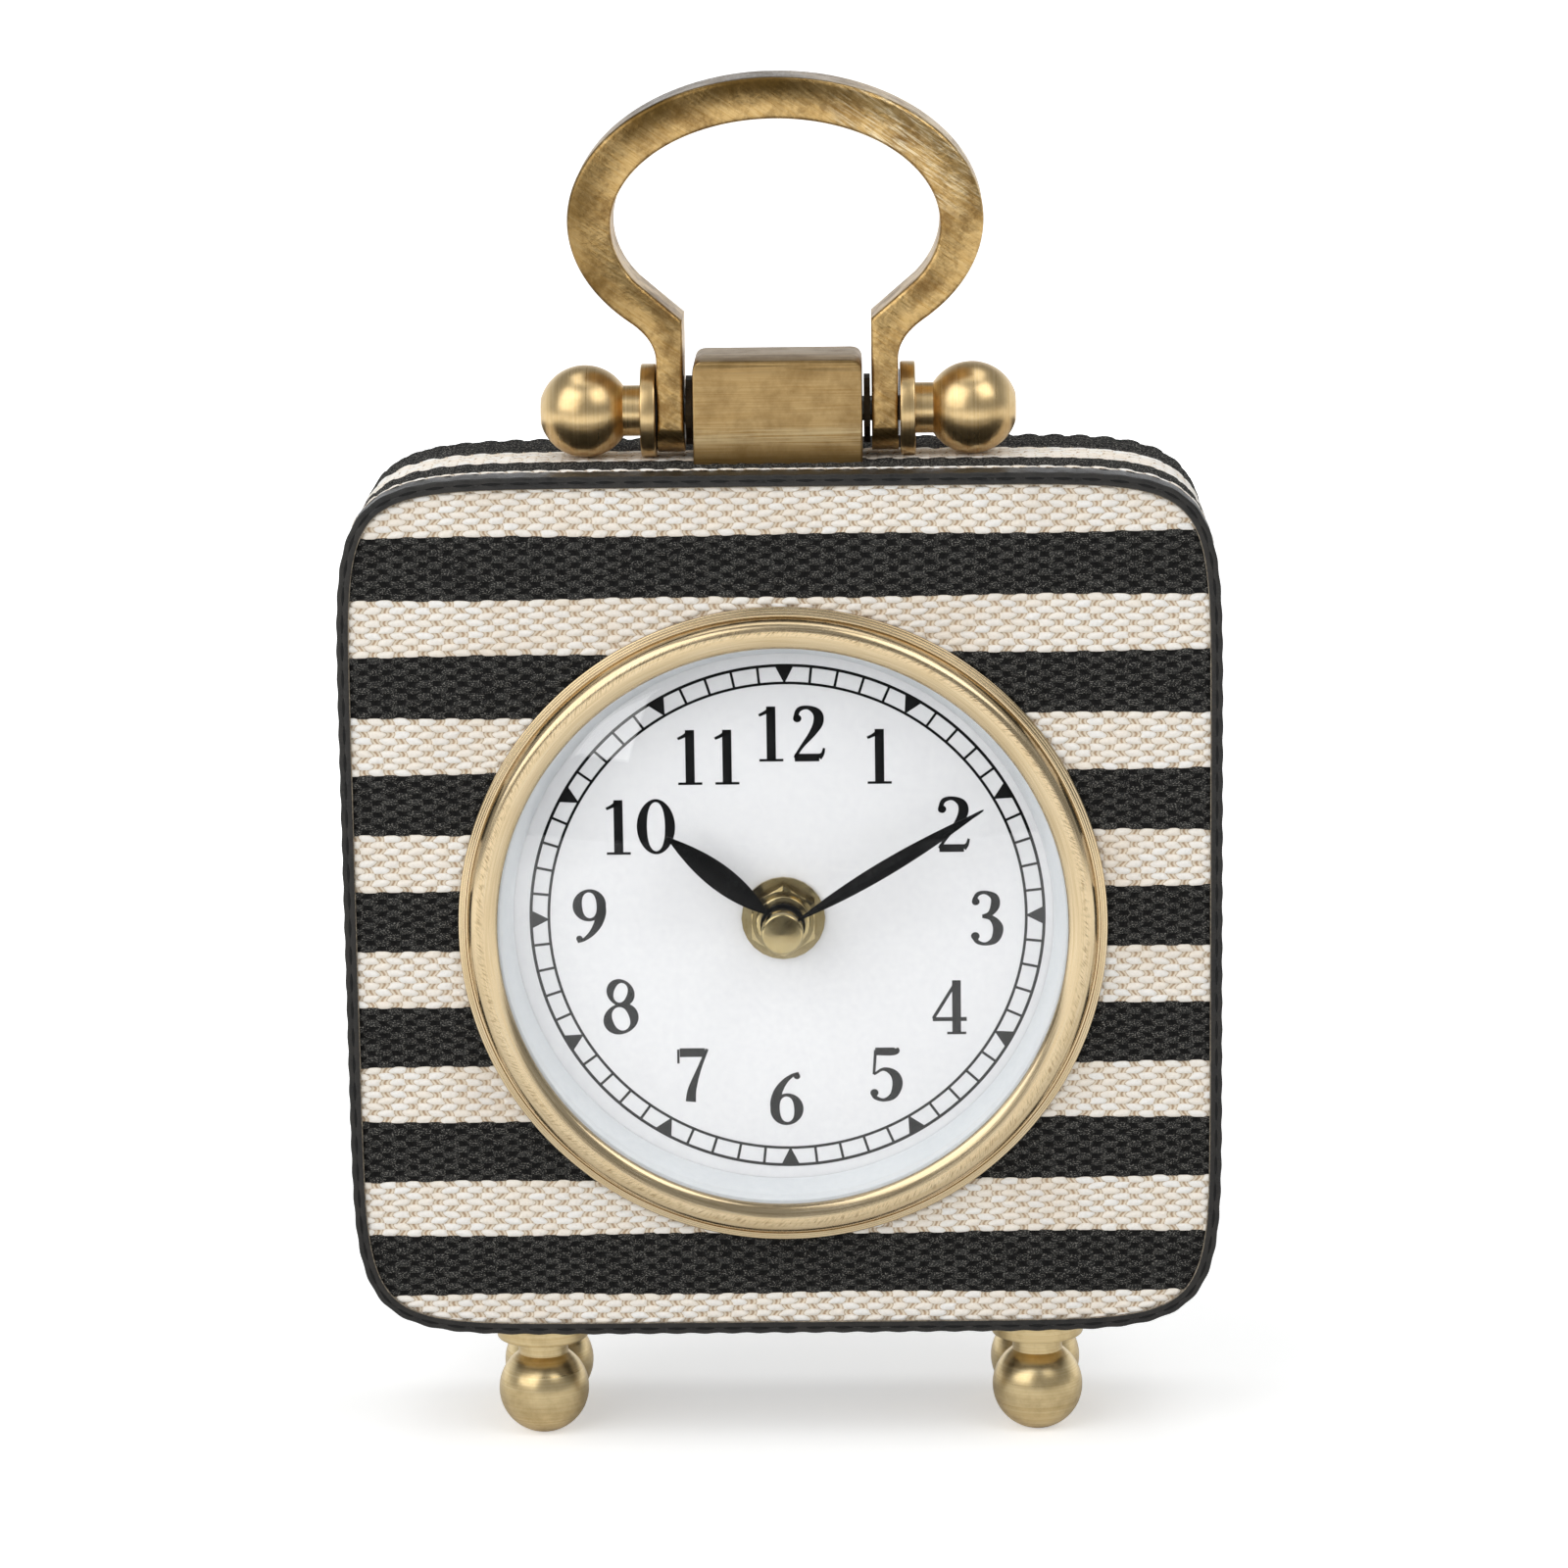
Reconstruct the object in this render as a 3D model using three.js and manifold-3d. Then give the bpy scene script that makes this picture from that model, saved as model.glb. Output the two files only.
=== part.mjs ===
// A small standing clock: a rounded square case covered in striped canvas, bound in leather along
// its front edge, with a brass bezel, a swinging brass handle and four ball feet.
// Millimetres, +Z up. The dial plane is y = 0 while the pieces are made, and y grows to the back.
import * as THREE from "three";
import { mergeVertices } from "three/addons/utils/BufferGeometryUtils.js";
import Module from "manifold-3d";

// Case
const caseWidth = 133;
const caseHeight = 133.4;
const caseDepth = 38.4; // front canvas to the rear face
const cornerPower = 9.3; // exponent of the superellipse that gives the round corners
const outlineSteps = 44;
const roundSteps = 36; // sides of the big round pieces
const arcSteps = 3; // a quarter of a small circle gets twice as many sides
const leatherThickness = 0.5;
const canvasThickness = 0.6;
const layerGap = 0.15; // glue line between the layers of the case
const bindingLip = 1.9; // leather showing on the front face
const bindingSide = 4.7; // leather showing on the sides
const bindingEdge = 0.45; // rounding of its outer edge
const frontBoardThickness = 6;
const frameWall = 9.9;
const cavityCorner = 16;
const rearRim = 4.6; // rear edge of the frame outside the cover
const coverCorner = 12;
const canvasTurn = 3.8; // canvas turned over the rear edge
const coverThickness = 3;
const coverWindow = 62; // square window behind the movement
const windowCorner = 6;
const screwHeadHeight = 1.6;
const coverScrewHead = 2.5; // radii
const coverScrewShank = 1.3;
const coverScrewLength = 9;
const coverScrewInset = 13;
const seat = 0.3; // gap left between pieces that rest on each other
const fit = 0.3; // radial play round a shaft or in a hole

// Dial and bezel, standing in front of or behind the dial plane
const dialDrop = 2.4; // dial centre below the middle of the case
const dialSink = 5.8; // dial plane behind the front canvas
const dialThickness = 0.6;
const cupRadius = 46.2;
const cupWall = 1.6;
const cupFloor = 1.6;
const bezelLap = 2.9; // bezel standing out beyond the cup
const bezelRim = 1.2; // flat rim outside the groove
const mouldingWidth = 2.1; // groove to crest
const slopeWidth = 2.7; // crest to opening
const bezelRise = 3.7; // crest above the front canvas
const bezelLipThickness = 0.4;
const crystalThickness = 1.4;
const crystalEdge = 6.4; // inner edge of the glass in front of the dial
const crystalHeight = 13; // inside of the dome in front of the dial
const collarWidth = 3.7; // white collar, from the cup's wall to where it meets the dial

// Hands and the hardware in the middle of the dial
const washerDiameter = 12.7;
const washerThickness = 0.7;
const nutAcrossFlats = 9.5;
const nutThickness = 2;
const bushRadius = 3.95;
const bushFront = 3.9;
const hourPipeRadius = 2.6;
const hourHandPlane = 5.2;
const hourHandLength = 22.1;
const hourHandWidth = 3.9;
const hourHubRadius = 4.05;
const minuteArborRadius = 1.5;
const minuteHandPlane = 7.7;
const minuteHandLength = 35.3;
const minuteHandWidth = 2.4;
const minuteHubRadius = 3.5;
const handThickness = 0.4;
const handCrease = 0.45;
const capNutRadius = 3.15;
const capNutFront = 11.7;
const capNutLength = 3.4;
const minuteAngle = 59.2; // degrees clockwise from 12
const hourAngle = 308.6;

// Quartz movement
const cellDiameter = 14.2;
const cellLength = 50.2;
const contactRoom = 2.9; // at each end of the cell, for its contact and the wall
const movementSize = cellLength + 2 * contactRoom;
const movementCorner = 4;
const movementDepth = 16;
const movementWall = 1.3;
const postRadius = 1.6; // posts that carry the stator and the circuit board
const gearModule = 0.5;
const cannonTeeth = 10;
const minuteWheelTeeth = 30;
const minutePinionTeeth = 8;
const hourWheelTeeth = 32;
const minuteWheelBearing = 60; // degrees round the centre, from the right hand side
const knobRadius = 6;
const knobHeight = 3;
const drivePlate = 1; // thickness of the stator and of the circuit board
const driveEdge = 2.5; // from the movement's outside to the stator, coil and circuit board
const statorReach = 13.3; // coil to rotor
const rotorRadius = 2.4;
const rotorArbor = 0.6;
const statorWidth = 20;
const statorBar = 2;
const statorHole = 2.9;
const coilRadius = 3.2;
const coilLength = 14;
const circuitWidth = 11;
const canRadius = 1.5;
const canLength = 8;

// Turned ball knob, used for the feet and for the ends of the handle pin
const ballRadius = 7;
const ballFlat = 2.1; // radius of the flat on the end of the ball
const knobFlangeRadius = 7.1;
const knobFlange = 2.3;
const footFlange = 4.1; // the feet have a thicker flange
const knobNeckRadius = 3.85;
const knobNeck = 2.7;
const knobSides = 16;
const studRadius = 1.9;
const studDepth = 8;
const footInset = 28; // from the side of the case
const footPitch = 14.4; // front foot to rear foot
const screwHeadRadius = 3.1;

// Handle
const pinHeight = 7.55; // pin above the canvas on top of the case
const blockWidth = 25.5;
const blockDepth = 15.6;
const blockHeight = 16;
const blockCorner = 1.8;
const blockScrewSpread = 7.5; // from the middle of the block
const armInner = 14.2;
const armThickness = 4.05;
const strapDepth = 12.6; // also twice the radius of the round arm ends
const strapEdge = 0.7;
const loopCentre = 29.3; // above the pin
const loopHalfWidth = 31.25;
const loopHalfHeight = 21.45;
const loopWaist = 22.15; // half width where the loop runs into the arms
const gripCentre = 28.6;
const gripHalfWidth = 24.7;
const gripHalfHeight = 15.9;
const gripWaist = 20.85;
const gripCorner = 14.4; // inner corner above the pin
const washerGap = 0.25;

const halfWidth = caseWidth / 2;
const halfHeight = caseHeight / 2;
const canvasInset = leatherThickness + layerGap;
const boardInset = canvasInset + canvasThickness + layerGap;
const frontY = -dialSink;
const rearY = frontY + caseDepth;
const middleY = (frontY + rearY) / 2;
const neckDrop = Math.sqrt(ballRadius ** 2 - knobNeckRadius ** 2); // neck to the middle of the ball
const footLength = footFlange + knobNeck + neckDrop + Math.sqrt(ballRadius ** 2 - ballFlat ** 2);
const canvasBottomZ = footLength + seat;
const caseCentreZ = canvasBottomZ - canvasInset + halfHeight;
const canvasTopZ = caseCentreZ + halfHeight - canvasInset;
const dialZ = caseCentreZ - dialDrop;
const cupInside = cupRadius - cupWall;
const bezelRadius = cupRadius + bezelLap;
const bezelGroove = bezelRadius - bezelRim;
const bezelCrest = bezelGroove - mouldingWidth;
const bezelOpening = bezelCrest - slopeWidth;
const pinZ = canvasTopZ + pinHeight;
const crystalFront = crystalHeight + crystalThickness;

const wasm = await Module();
wasm.setup();

// Leaves only positions, joins equal vertices, drops empty faces and turns the faces outwards.
function closed(geometry) {
  const bare = geometry.index ? geometry.toNonIndexed() : geometry.clone();
  for (const name of Object.keys(bare.attributes)) {
    if (name !== "position") bare.deleteAttribute(name);
  }
  const merged = mergeVertices(bare, 1e-4);
  const point = merged.attributes.position;
  const faces = [];
  let volume = 0;
  const a = new THREE.Vector3();
  const b = new THREE.Vector3();
  const c = new THREE.Vector3();
  for (let i = 0; i < merged.index.count; i += 3) {
    const [p, q, r] = [0, 1, 2].map((k) => merged.index.getX(i + k));
    if (p === q || q === r || r === p) continue;
    faces.push(p, q, r);
    a.fromBufferAttribute(point, p);
    b.fromBufferAttribute(point, q);
    c.fromBufferAttribute(point, r);
    volume += a.dot(b.cross(c));
  }
  if (volume < 0) faces.reverse();
  merged.setIndex(faces);
  return merged;
}

function toSolid(geometry) {
  const g = closed(geometry);
  return new wasm.Manifold(
    new wasm.Mesh({
      numProp: 3,
      vertProperties: new Float32Array(g.attributes.position.array),
      triVerts: new Uint32Array(g.index.array),
    }),
  );
}

function toGeometry(solid) {
  const mesh = solid.getMesh();
  const geometry = new THREE.BufferGeometry();
  geometry.setAttribute("position", new THREE.BufferAttribute(new Float32Array(mesh.vertProperties), 3));
  geometry.setIndex(new THREE.BufferAttribute(new Uint32Array(mesh.triVerts), 1));
  return geometry;
}

function cut(geometry, ...tools) {
  return toGeometry(tools.reduce((solid, tool) => solid.subtract(toSolid(tool)), toSolid(geometry)));
}

function join(...pieces) {
  const [first, ...rest] = pieces.map(toSolid);
  return toGeometry(rest.reduce((solid, piece) => solid.add(piece), first));
}

function common(one, other) {
  return toGeometry(toSolid(one).intersect(toSolid(other)));
}

// Revolves a closed profile of [radius, y] round the Y axis.
function turned(profile, steps = 24) {
  const points = profile.map(([r, y]) => new THREE.Vector2(r, y));
  const open = profile[0][0] === 0 && profile[profile.length - 1][0] === 0;
  if (!open) points.push(points[0].clone());
  return closed(new THREE.LatheGeometry(points, steps));
}

// A ring, or a disc where inner is 0, from y0 to y1.
function disc(outer, inner, y0, y1, steps = 24) {
  return turned([[inner, y0], [outer, y0], [outer, y1], [inner, y1]], steps);
}

// Extrudes an outline drawn in x and z from y0 to y1.
function plate(shape, y0, y1, options = {}) {
  const geometry = new THREE.ExtrudeGeometry(shape, {
    depth: y1 - y0,
    bevelEnabled: false,
    curveSegments: arcSteps,
    ...options,
  });
  geometry.rotateX(Math.PI / 2);
  return closed(geometry.translate(0, y1, 0));
}

// Extrudes an outline drawn in y and z along x, about the middle.
function sidePlate(shape, width) {
  const geometry = new THREE.ExtrudeGeometry(shape, {
    depth: width,
    bevelEnabled: false,
    curveSegments: 7, // half a turn round the pin gets twice as many sides
  });
  const turn = new THREE.Matrix4().makeBasis(
    new THREE.Vector3(0, 1, 0),
    new THREE.Vector3(0, 0, 1),
    new THREE.Vector3(1, 0, 0),
  );
  geometry.translate(0, 0, -width / 2);
  return closed(geometry.applyMatrix4(turn));
}

function roundedRectangle(width, height, corner) {
  const shape = new THREE.Shape();
  const x = width / 2 - corner;
  const z = height / 2 - corner;
  shape.absarc(x, z, corner, 0, Math.PI / 2);
  shape.absarc(-x, z, corner, Math.PI / 2, Math.PI);
  shape.absarc(-x, -z, corner, Math.PI, 1.5 * Math.PI);
  shape.absarc(x, -z, corner, 1.5 * Math.PI, 2 * Math.PI);
  shape.closePath();
  return shape;
}

function roundHole(x, z, radius) {
  return new THREE.Path().absarc(x, z, radius, 0, 2 * Math.PI, true);
}

function box(x0, x1, y0, y1, z0, z1) {
  const geometry = new THREE.BoxGeometry(x1 - x0, y1 - y0, z1 - z0);
  return geometry.translate((x0 + x1) / 2, (y0 + y1) / 2, (z0 + z1) / 2);
}

// A cylinder along y, standing at x and z.
function pillar(x, z, radius, y0, y1, steps = 8) {
  return disc(radius, 0, y0, y1, steps).translate(x, 0, z);
}

// A point of the case outline, moved inwards along its normal.
function outlinePoint(t, inset) {
  const c = Math.cos(t);
  const s = Math.sin(t);
  const shareX = Math.abs(c) ** (2 / cornerPower);
  const shareZ = Math.abs(s) ** (2 / cornerPower);
  const normal = new THREE.Vector2(
    (Math.sign(c) * shareX ** (cornerPower - 1)) / halfWidth,
    (Math.sign(s) * shareZ ** (cornerPower - 1)) / halfHeight,
  ).normalize();
  return new THREE.Vector2(
    Math.sign(c) * shareX * halfWidth - normal.x * inset,
    Math.sign(s) * shareZ * halfHeight - normal.y * inset,
  );
}

function caseShape(inset) {
  const points = [];
  for (let i = 0; i < outlineSteps; i += 1) {
    points.push(outlinePoint((2 * Math.PI * i) / outlineSteps, inset));
  }
  return new THREE.Shape(points);
}

// Carries a closed profile of [inset, y] once round the case outline.
function caseRing(profile) {
  const positions = [];
  const faces = [];
  const count = profile.length;
  for (let i = 0; i < outlineSteps; i += 1) {
    for (const [inset, y] of profile) {
      const point = outlinePoint((2 * Math.PI * i) / outlineSteps, inset);
      positions.push(point.x, y, point.y);
    }
  }
  for (let i = 0; i < outlineSteps; i += 1) {
    const next = (i + 1) % outlineSteps;
    for (let j = 0; j < count; j += 1) {
      const k = (j + 1) % count;
      faces.push(i * count + j, next * count + j, next * count + k);
      faces.push(i * count + j, next * count + k, i * count + k);
    }
  }
  const geometry = new THREE.BufferGeometry();
  geometry.setAttribute("position", new THREE.Float32BufferAttribute(positions, 3));
  geometry.setIndex(faces);
  return closed(geometry);
}

const finish = {
  canvas: { color: 0xe6d9c4, roughness: 0.95, metalness: 0 },
  leather: { color: 0x24211f, roughness: 0.5, metalness: 0 },
  board: { color: 0x9c7a52, roughness: 0.9, metalness: 0 },
  cover: { color: 0x1c1c1d, roughness: 0.7, metalness: 0 },
  brass: { color: 0xb08d57, roughness: 0.35, metalness: 1 },
  paleBrass: { color: 0xd8c08a, roughness: 0.4, metalness: 1 },
  steel: { color: 0x9aa0a4, roughness: 0.4, metalness: 1 },
  copper: { color: 0xb06a3c, roughness: 0.5, metalness: 1 },
  enamel: { color: 0xf2f3f4, roughness: 0.5, metalness: 0 },
  black: { color: 0x141414, roughness: 0.25, metalness: 0 },
  plastic: { color: 0x2b2c2e, roughness: 0.5, metalness: 0 },
  nylon: { color: 0xe9e7df, roughness: 0.5, metalness: 0 },
  circuit: { color: 0x2f6b45, roughness: 0.6, metalness: 0 },
  cell: { color: 0x3b4a5a, roughness: 0.35, metalness: 0.4 },
  glass: { color: 0xffffff, roughness: 0.03, metalness: 0 },
};

function piece(name, geometry, look, parent) {
  const mesh = new THREE.Mesh(geometry, new THREE.MeshStandardMaterial(finish[look]));
  mesh.name = name;
  parent.add(mesh);
  return mesh;
}

const clock = new THREE.Group();
clock.position.y = -(rearY - crystalFront) / 2;
const casing = new THREE.Group();
casing.position.z = caseCentreZ;
const face = new THREE.Group();
face.position.z = dialZ;
clock.add(casing, face);

// A cylinder standing upright at x and y.
function upright(x, y, radius, z0, z1, steps = 8) {
  return disc(radius, 0, z0, z1, steps).rotateX(Math.PI / 2).translate(x, y, 0);
}

// A cylinder or a tube along x.
function across(y, z, radius, hole, x0, x1, steps = 16) {
  return disc(radius, hole, x0, x1, steps).rotateZ(-Math.PI / 2).translate(0, y, z);
}

const canvasSideFront = frontY + canvasThickness + layerGap;
const frameFront = canvasSideFront + frontBoardThickness + layerGap;
const frameRear = rearY - canvasThickness - layerGap;
const coverRear = rearY - screwHeadHeight - seat;
const coverFront = coverRear - coverThickness;
const wallInset = boardInset + frameWall;
const holeRadius = cupRadius + fit;
const footPlaces = [-1, 1].flatMap((side) => [-1, 1].map((end) => ({
  x: side * (halfWidth - footInset),
  y: middleY + (end * footPitch) / 2,
  name: (end < 0 ? "front_" : "rear_") + (side < 0 ? "left" : "right"),
})));
const blockScrewPlaces = [-1, 1].map((side) => ({
  x: side * blockScrewSpread,
  name: side < 0 ? "left" : "right",
}));
const coverScrewPlaces = [-1, 1].flatMap((side) => [-1, 1].map((end) => ({
  x: side * (halfWidth - coverScrewInset),
  z: end * (halfHeight - coverScrewInset),
  name: (end < 0 ? "lower_" : "upper_") + (side < 0 ? "left" : "right"),
})));

// Holes through the case for the screws of the feet and of the handle block, in the case's own frame.
function caseScrewHoles() {
  const feet = footPlaces.map(({ x, y }) => (
    upright(x, y, studRadius + fit, -caseHeight, wallInset - halfHeight + 1)
  ));
  const block = blockScrewPlaces.map(({ x }) => (
    upright(x, middleY, studRadius + fit, halfHeight - wallInset - 1, caseHeight)
  ));
  return [...feet, ...block];
}

function buildCase() {
  const boardOutline = caseShape(boardInset);
  boardOutline.holes.push(roundHole(0, -dialDrop, holeRadius));
  const boardFront = canvasSideFront;
  piece("front_board", plate(boardOutline, boardFront, boardFront + frontBoardThickness, {
    curveSegments: roundSteps / 2,
  }), "board", casing);

  const cavity = roundedRectangle(caseWidth - 2 * wallInset, caseHeight - 2 * wallInset, cavityCorner);
  const rabbetInset = boardInset + rearRim;
  const rabbet = roundedRectangle(caseWidth - 2 * rabbetInset, caseHeight - 2 * rabbetInset, coverCorner);
  const frame = cut(
    plate(caseShape(boardInset), frameFront, frameRear),
    plate(cavity, frameFront - 1, frameRear + 1),
    plate(rabbet, coverFront - layerGap, frameRear + 1),
    ...caseScrewHoles(),
    ...coverScrewPlaces.map(({ x, z }) => (
      pillar(x, z, coverScrewShank + layerGap, coverRear - coverScrewLength - 1, frameRear)
    )),
  );
  piece("case_frame", frame, "board", casing);

  const canvasOutline = caseShape(canvasInset);
  canvasOutline.holes.push(roundHole(0, -dialDrop, holeRadius));
  piece("front_canvas", plate(canvasOutline, frontY, frontY + canvasThickness, {
    curveSegments: roundSteps / 2,
  }), "canvas", casing);

  const innerInset = canvasInset + canvasThickness;
  const turnInset = boardInset + canvasTurn;
  const wrap = caseRing([
    [canvasInset, canvasSideFront],
    [canvasInset, rearY],
    [turnInset, rearY],
    [turnInset, rearY - canvasThickness],
    [innerInset, rearY - canvasThickness],
    [innerInset, canvasSideFront],
  ]);
  piece("side_canvas", cut(wrap, ...caseScrewHoles()), "canvas", casing);

  const lipBack = frontY - layerGap;
  const lipFront = lipBack - leatherThickness;
  const binding = caseRing([
    [bindingEdge, lipFront],
    [0, lipFront + bindingEdge],
    [0, frontY + bindingSide],
    [leatherThickness, frontY + bindingSide],
    [leatherThickness, lipBack],
    [bindingLip, lipBack],
    [bindingLip, lipFront],
  ]);
  piece("front_binding", binding, "leather", casing);

  const coverInset = rabbetInset + fit;
  const cover = roundedRectangle(caseWidth - 2 * coverInset, caseHeight - 2 * coverInset, coverCorner);
  cover.holes.push(new THREE.Path(
    roundedRectangle(coverWindow, coverWindow, windowCorner).getPoints(arcSteps).reverse()
      .map((point) => point.add(new THREE.Vector2(0, -dialDrop))),
  ));
  const coverBoard = cut(plate(cover, coverFront, coverRear), ...coverScrewPlaces.map(({ x, z }) => (
    pillar(x, z, coverScrewShank + fit, coverFront - 1, coverRear + 1)
  )));
  piece("rear_cover", coverBoard, "cover", casing);
  for (const { x, z, name } of coverScrewPlaces) {
    const headBack = coverRear + layerGap;
    const screw = turned([
      [0, coverRear - coverScrewLength],
      [coverScrewShank, coverRear - coverScrewLength],
      [coverScrewShank, headBack],
      [coverScrewHead, headBack],
      [coverScrewHead * 0.6, headBack + screwHeadHeight - layerGap],
      [0, headBack + screwHeadHeight - layerGap],
    ], 8);
    piece("cover_screw_" + name, screw.translate(x, 0, z), "steel", casing);
  }
}

// The turned knob as [radius, distance from its flange face], with a blind hole for its screw or pin.
function knobProfile(flange) {
  const hole = studRadius + layerGap;
  const edge = 0.4;
  const ballCentre = flange + knobNeck + neckDrop;
  const points = [
    [hole, studDepth],
    [hole, 0],
    [knobFlangeRadius - edge, 0],
    [knobFlangeRadius, edge],
    [knobFlangeRadius, flange - edge],
    [knobFlangeRadius - edge, flange],
    [knobNeckRadius, flange],
  ];
  const first = Math.PI - Math.asin(knobNeckRadius / ballRadius);
  const last = Math.asin(ballFlat / ballRadius);
  const steps = 5;
  for (let i = 0; i <= steps; i += 1) {
    const a = first + ((last - first) * i) / steps;
    points.push([ballRadius * Math.sin(a), ballCentre + ballRadius * Math.cos(a)]);
  }
  points.push([0, ballCentre + ballRadius * Math.cos(last)], [0, studDepth]);
  return points;
}

function buildFeet() {
  const profile = knobProfile(footFlange).map(([r, a]) => [r, footLength - a]);
  const headSeat = caseCentreZ - halfHeight + wallInset + seat;
  for (const { x, y, name } of footPlaces) {
    const foot = turned(profile, knobSides).rotateX(Math.PI / 2);
    piece("foot_" + name, foot.translate(x, y, 0), "brass", clock);
    const screw = turned([
      [0, footLength - studDepth + seat],
      [studRadius, footLength - studDepth + seat],
      [studRadius, headSeat],
      [screwHeadRadius, headSeat],
      [screwHeadRadius * 0.7, headSeat + screwHeadHeight],
      [0, headSeat + screwHeadHeight],
    ], 8).rotateX(Math.PI / 2);
    piece("foot_screw_" + name, screw.translate(x, y, 0), "steel", clock);
  }
}

function buildHandle() {
  const blockBottom = canvasTopZ + seat;
  const blockTop = canvasTopZ + blockHeight;
  const blockScrewTop = pinZ - studRadius - fit - 1;
  const half = blockWidth / 2;
  const outline = new THREE.Shape();
  outline.moveTo(-half, blockBottom);
  outline.lineTo(half, blockBottom);
  outline.absarc(half - blockCorner, blockTop - blockCorner, blockCorner, 0, Math.PI / 2);
  outline.absarc(blockCorner - half, blockTop - blockCorner, blockCorner, Math.PI / 2, Math.PI);
  outline.closePath();
  const blockSolid = plate(outline, middleY - blockDepth / 2, middleY + blockDepth / 2);
  piece("handle_block", cut(
    blockSolid,
    across(middleY, pinZ, studRadius + layerGap, 0, -blockWidth, blockWidth),
    ...blockScrewPlaces.map(({ x }) => (
      upright(x, middleY, studRadius + layerGap, blockBottom - 1, blockScrewTop)
    )),
  ), "brass", clock);

  const headSeat = caseCentreZ + halfHeight - wallInset - seat;
  for (const { x, name } of blockScrewPlaces) {
    const screw = turned([
      [0, headSeat - screwHeadHeight],
      [screwHeadRadius * 0.7, headSeat - screwHeadHeight],
      [screwHeadRadius, headSeat],
      [studRadius, headSeat],
      [studRadius, blockScrewTop - seat],
      [0, blockScrewTop - seat],
    ], 8).rotateX(Math.PI / 2);
    piece("block_screw_" + name, screw.translate(x, middleY, 0), "steel", clock);
  }

  const knobFace = armInner + armThickness + washerGap;
  const rodEnd = knobFace + studDepth - seat;
  piece("handle_pin", across(middleY, pinZ, studRadius, 0, -rodEnd, rodEnd), "steel", clock);
  for (const side of [-1, 1]) {
    const name = side < 0 ? "left" : "right";
    const profile = knobProfile(knobFlange).map(([r, a]) => [r, side * (knobFace + a)]);
    const finial = turned(profile, knobSides).rotateZ(-Math.PI / 2);
    piece("finial_" + name, finial.translate(0, middleY, pinZ), "brass", clock);
    const ends = [side * (blockWidth / 2 + washerGap), side * (armInner - washerGap)];
    const washer = across(
      middleY, pinZ, strapDepth / 2 - 1, studRadius + layerGap, Math.min(...ends), Math.max(...ends),
    );
    piece("pin_washer_" + name, washer, "brass", clock);
  }
  piece("handle_loop", loopSolid(), "brass", clock);
}

// The handle: a bent strap whose two arms hang on the pin beside the block.
function loopSolid() {
  const armOuter = armInner + armThickness;
  const armEnd = -strapDepth / 2;
  const low = -Math.acos(loopWaist / loopHalfWidth);
  const waistZ = loopCentre + loopHalfHeight * Math.sin(low);
  const slope = (loopHalfHeight * Math.cos(low)) / (-loopHalfWidth * Math.sin(low));
  const shoulderZ = waistZ - slope * (loopWaist - armOuter);
  const shoulderRound = 3.3;
  const gripLow = -Math.acos(gripWaist / gripHalfWidth);
  const shape = new THREE.Shape();
  shape.moveTo(armInner, armEnd);
  shape.lineTo(armOuter, armEnd);
  shape.lineTo(armOuter, shoulderZ - shoulderRound);
  shape.quadraticCurveTo(armOuter, shoulderZ, loopWaist, waistZ);
  shape.absellipse(0, loopCentre, loopHalfWidth, loopHalfHeight, low, Math.PI - low);
  shape.quadraticCurveTo(-armOuter, shoulderZ, -armOuter, shoulderZ - shoulderRound);
  shape.lineTo(-armOuter, armEnd);
  shape.lineTo(-armInner, armEnd);
  shape.lineTo(-armInner, gripCorner);
  shape.absellipse(0, gripCentre, gripHalfWidth, gripHalfHeight, Math.PI - gripLow, gripLow, true);
  shape.lineTo(armInner, gripCorner);
  shape.closePath();
  const inner = strapDepth / 2 - strapEdge;
  const strap = plate(shape, -inner, inner, {
    curveSegments: 10,
    bevelEnabled: true,
    bevelThickness: strapEdge,
    bevelSize: strapEdge,
    bevelOffset: -strapEdge,
    bevelSegments: 1,
  });
  const side = new THREE.Shape();
  const top = loopCentre + loopHalfHeight + 1;
  side.moveTo(strapDepth / 2 + 1, top);
  side.lineTo(-strapDepth / 2 - 1, top);
  side.lineTo(-strapDepth / 2, 0);
  side.absarc(0, 0, strapDepth / 2, Math.PI, 2 * Math.PI);
  side.closePath();
  const rounded = common(strap, sidePlate(side, 2 * loopHalfWidth + 2));
  const bored = cut(rounded, across(0, 0, studRadius + layerGap, 0, -loopHalfWidth, loopHalfWidth));
  return bored.translate(0, middleY, pinZ);
}

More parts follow.
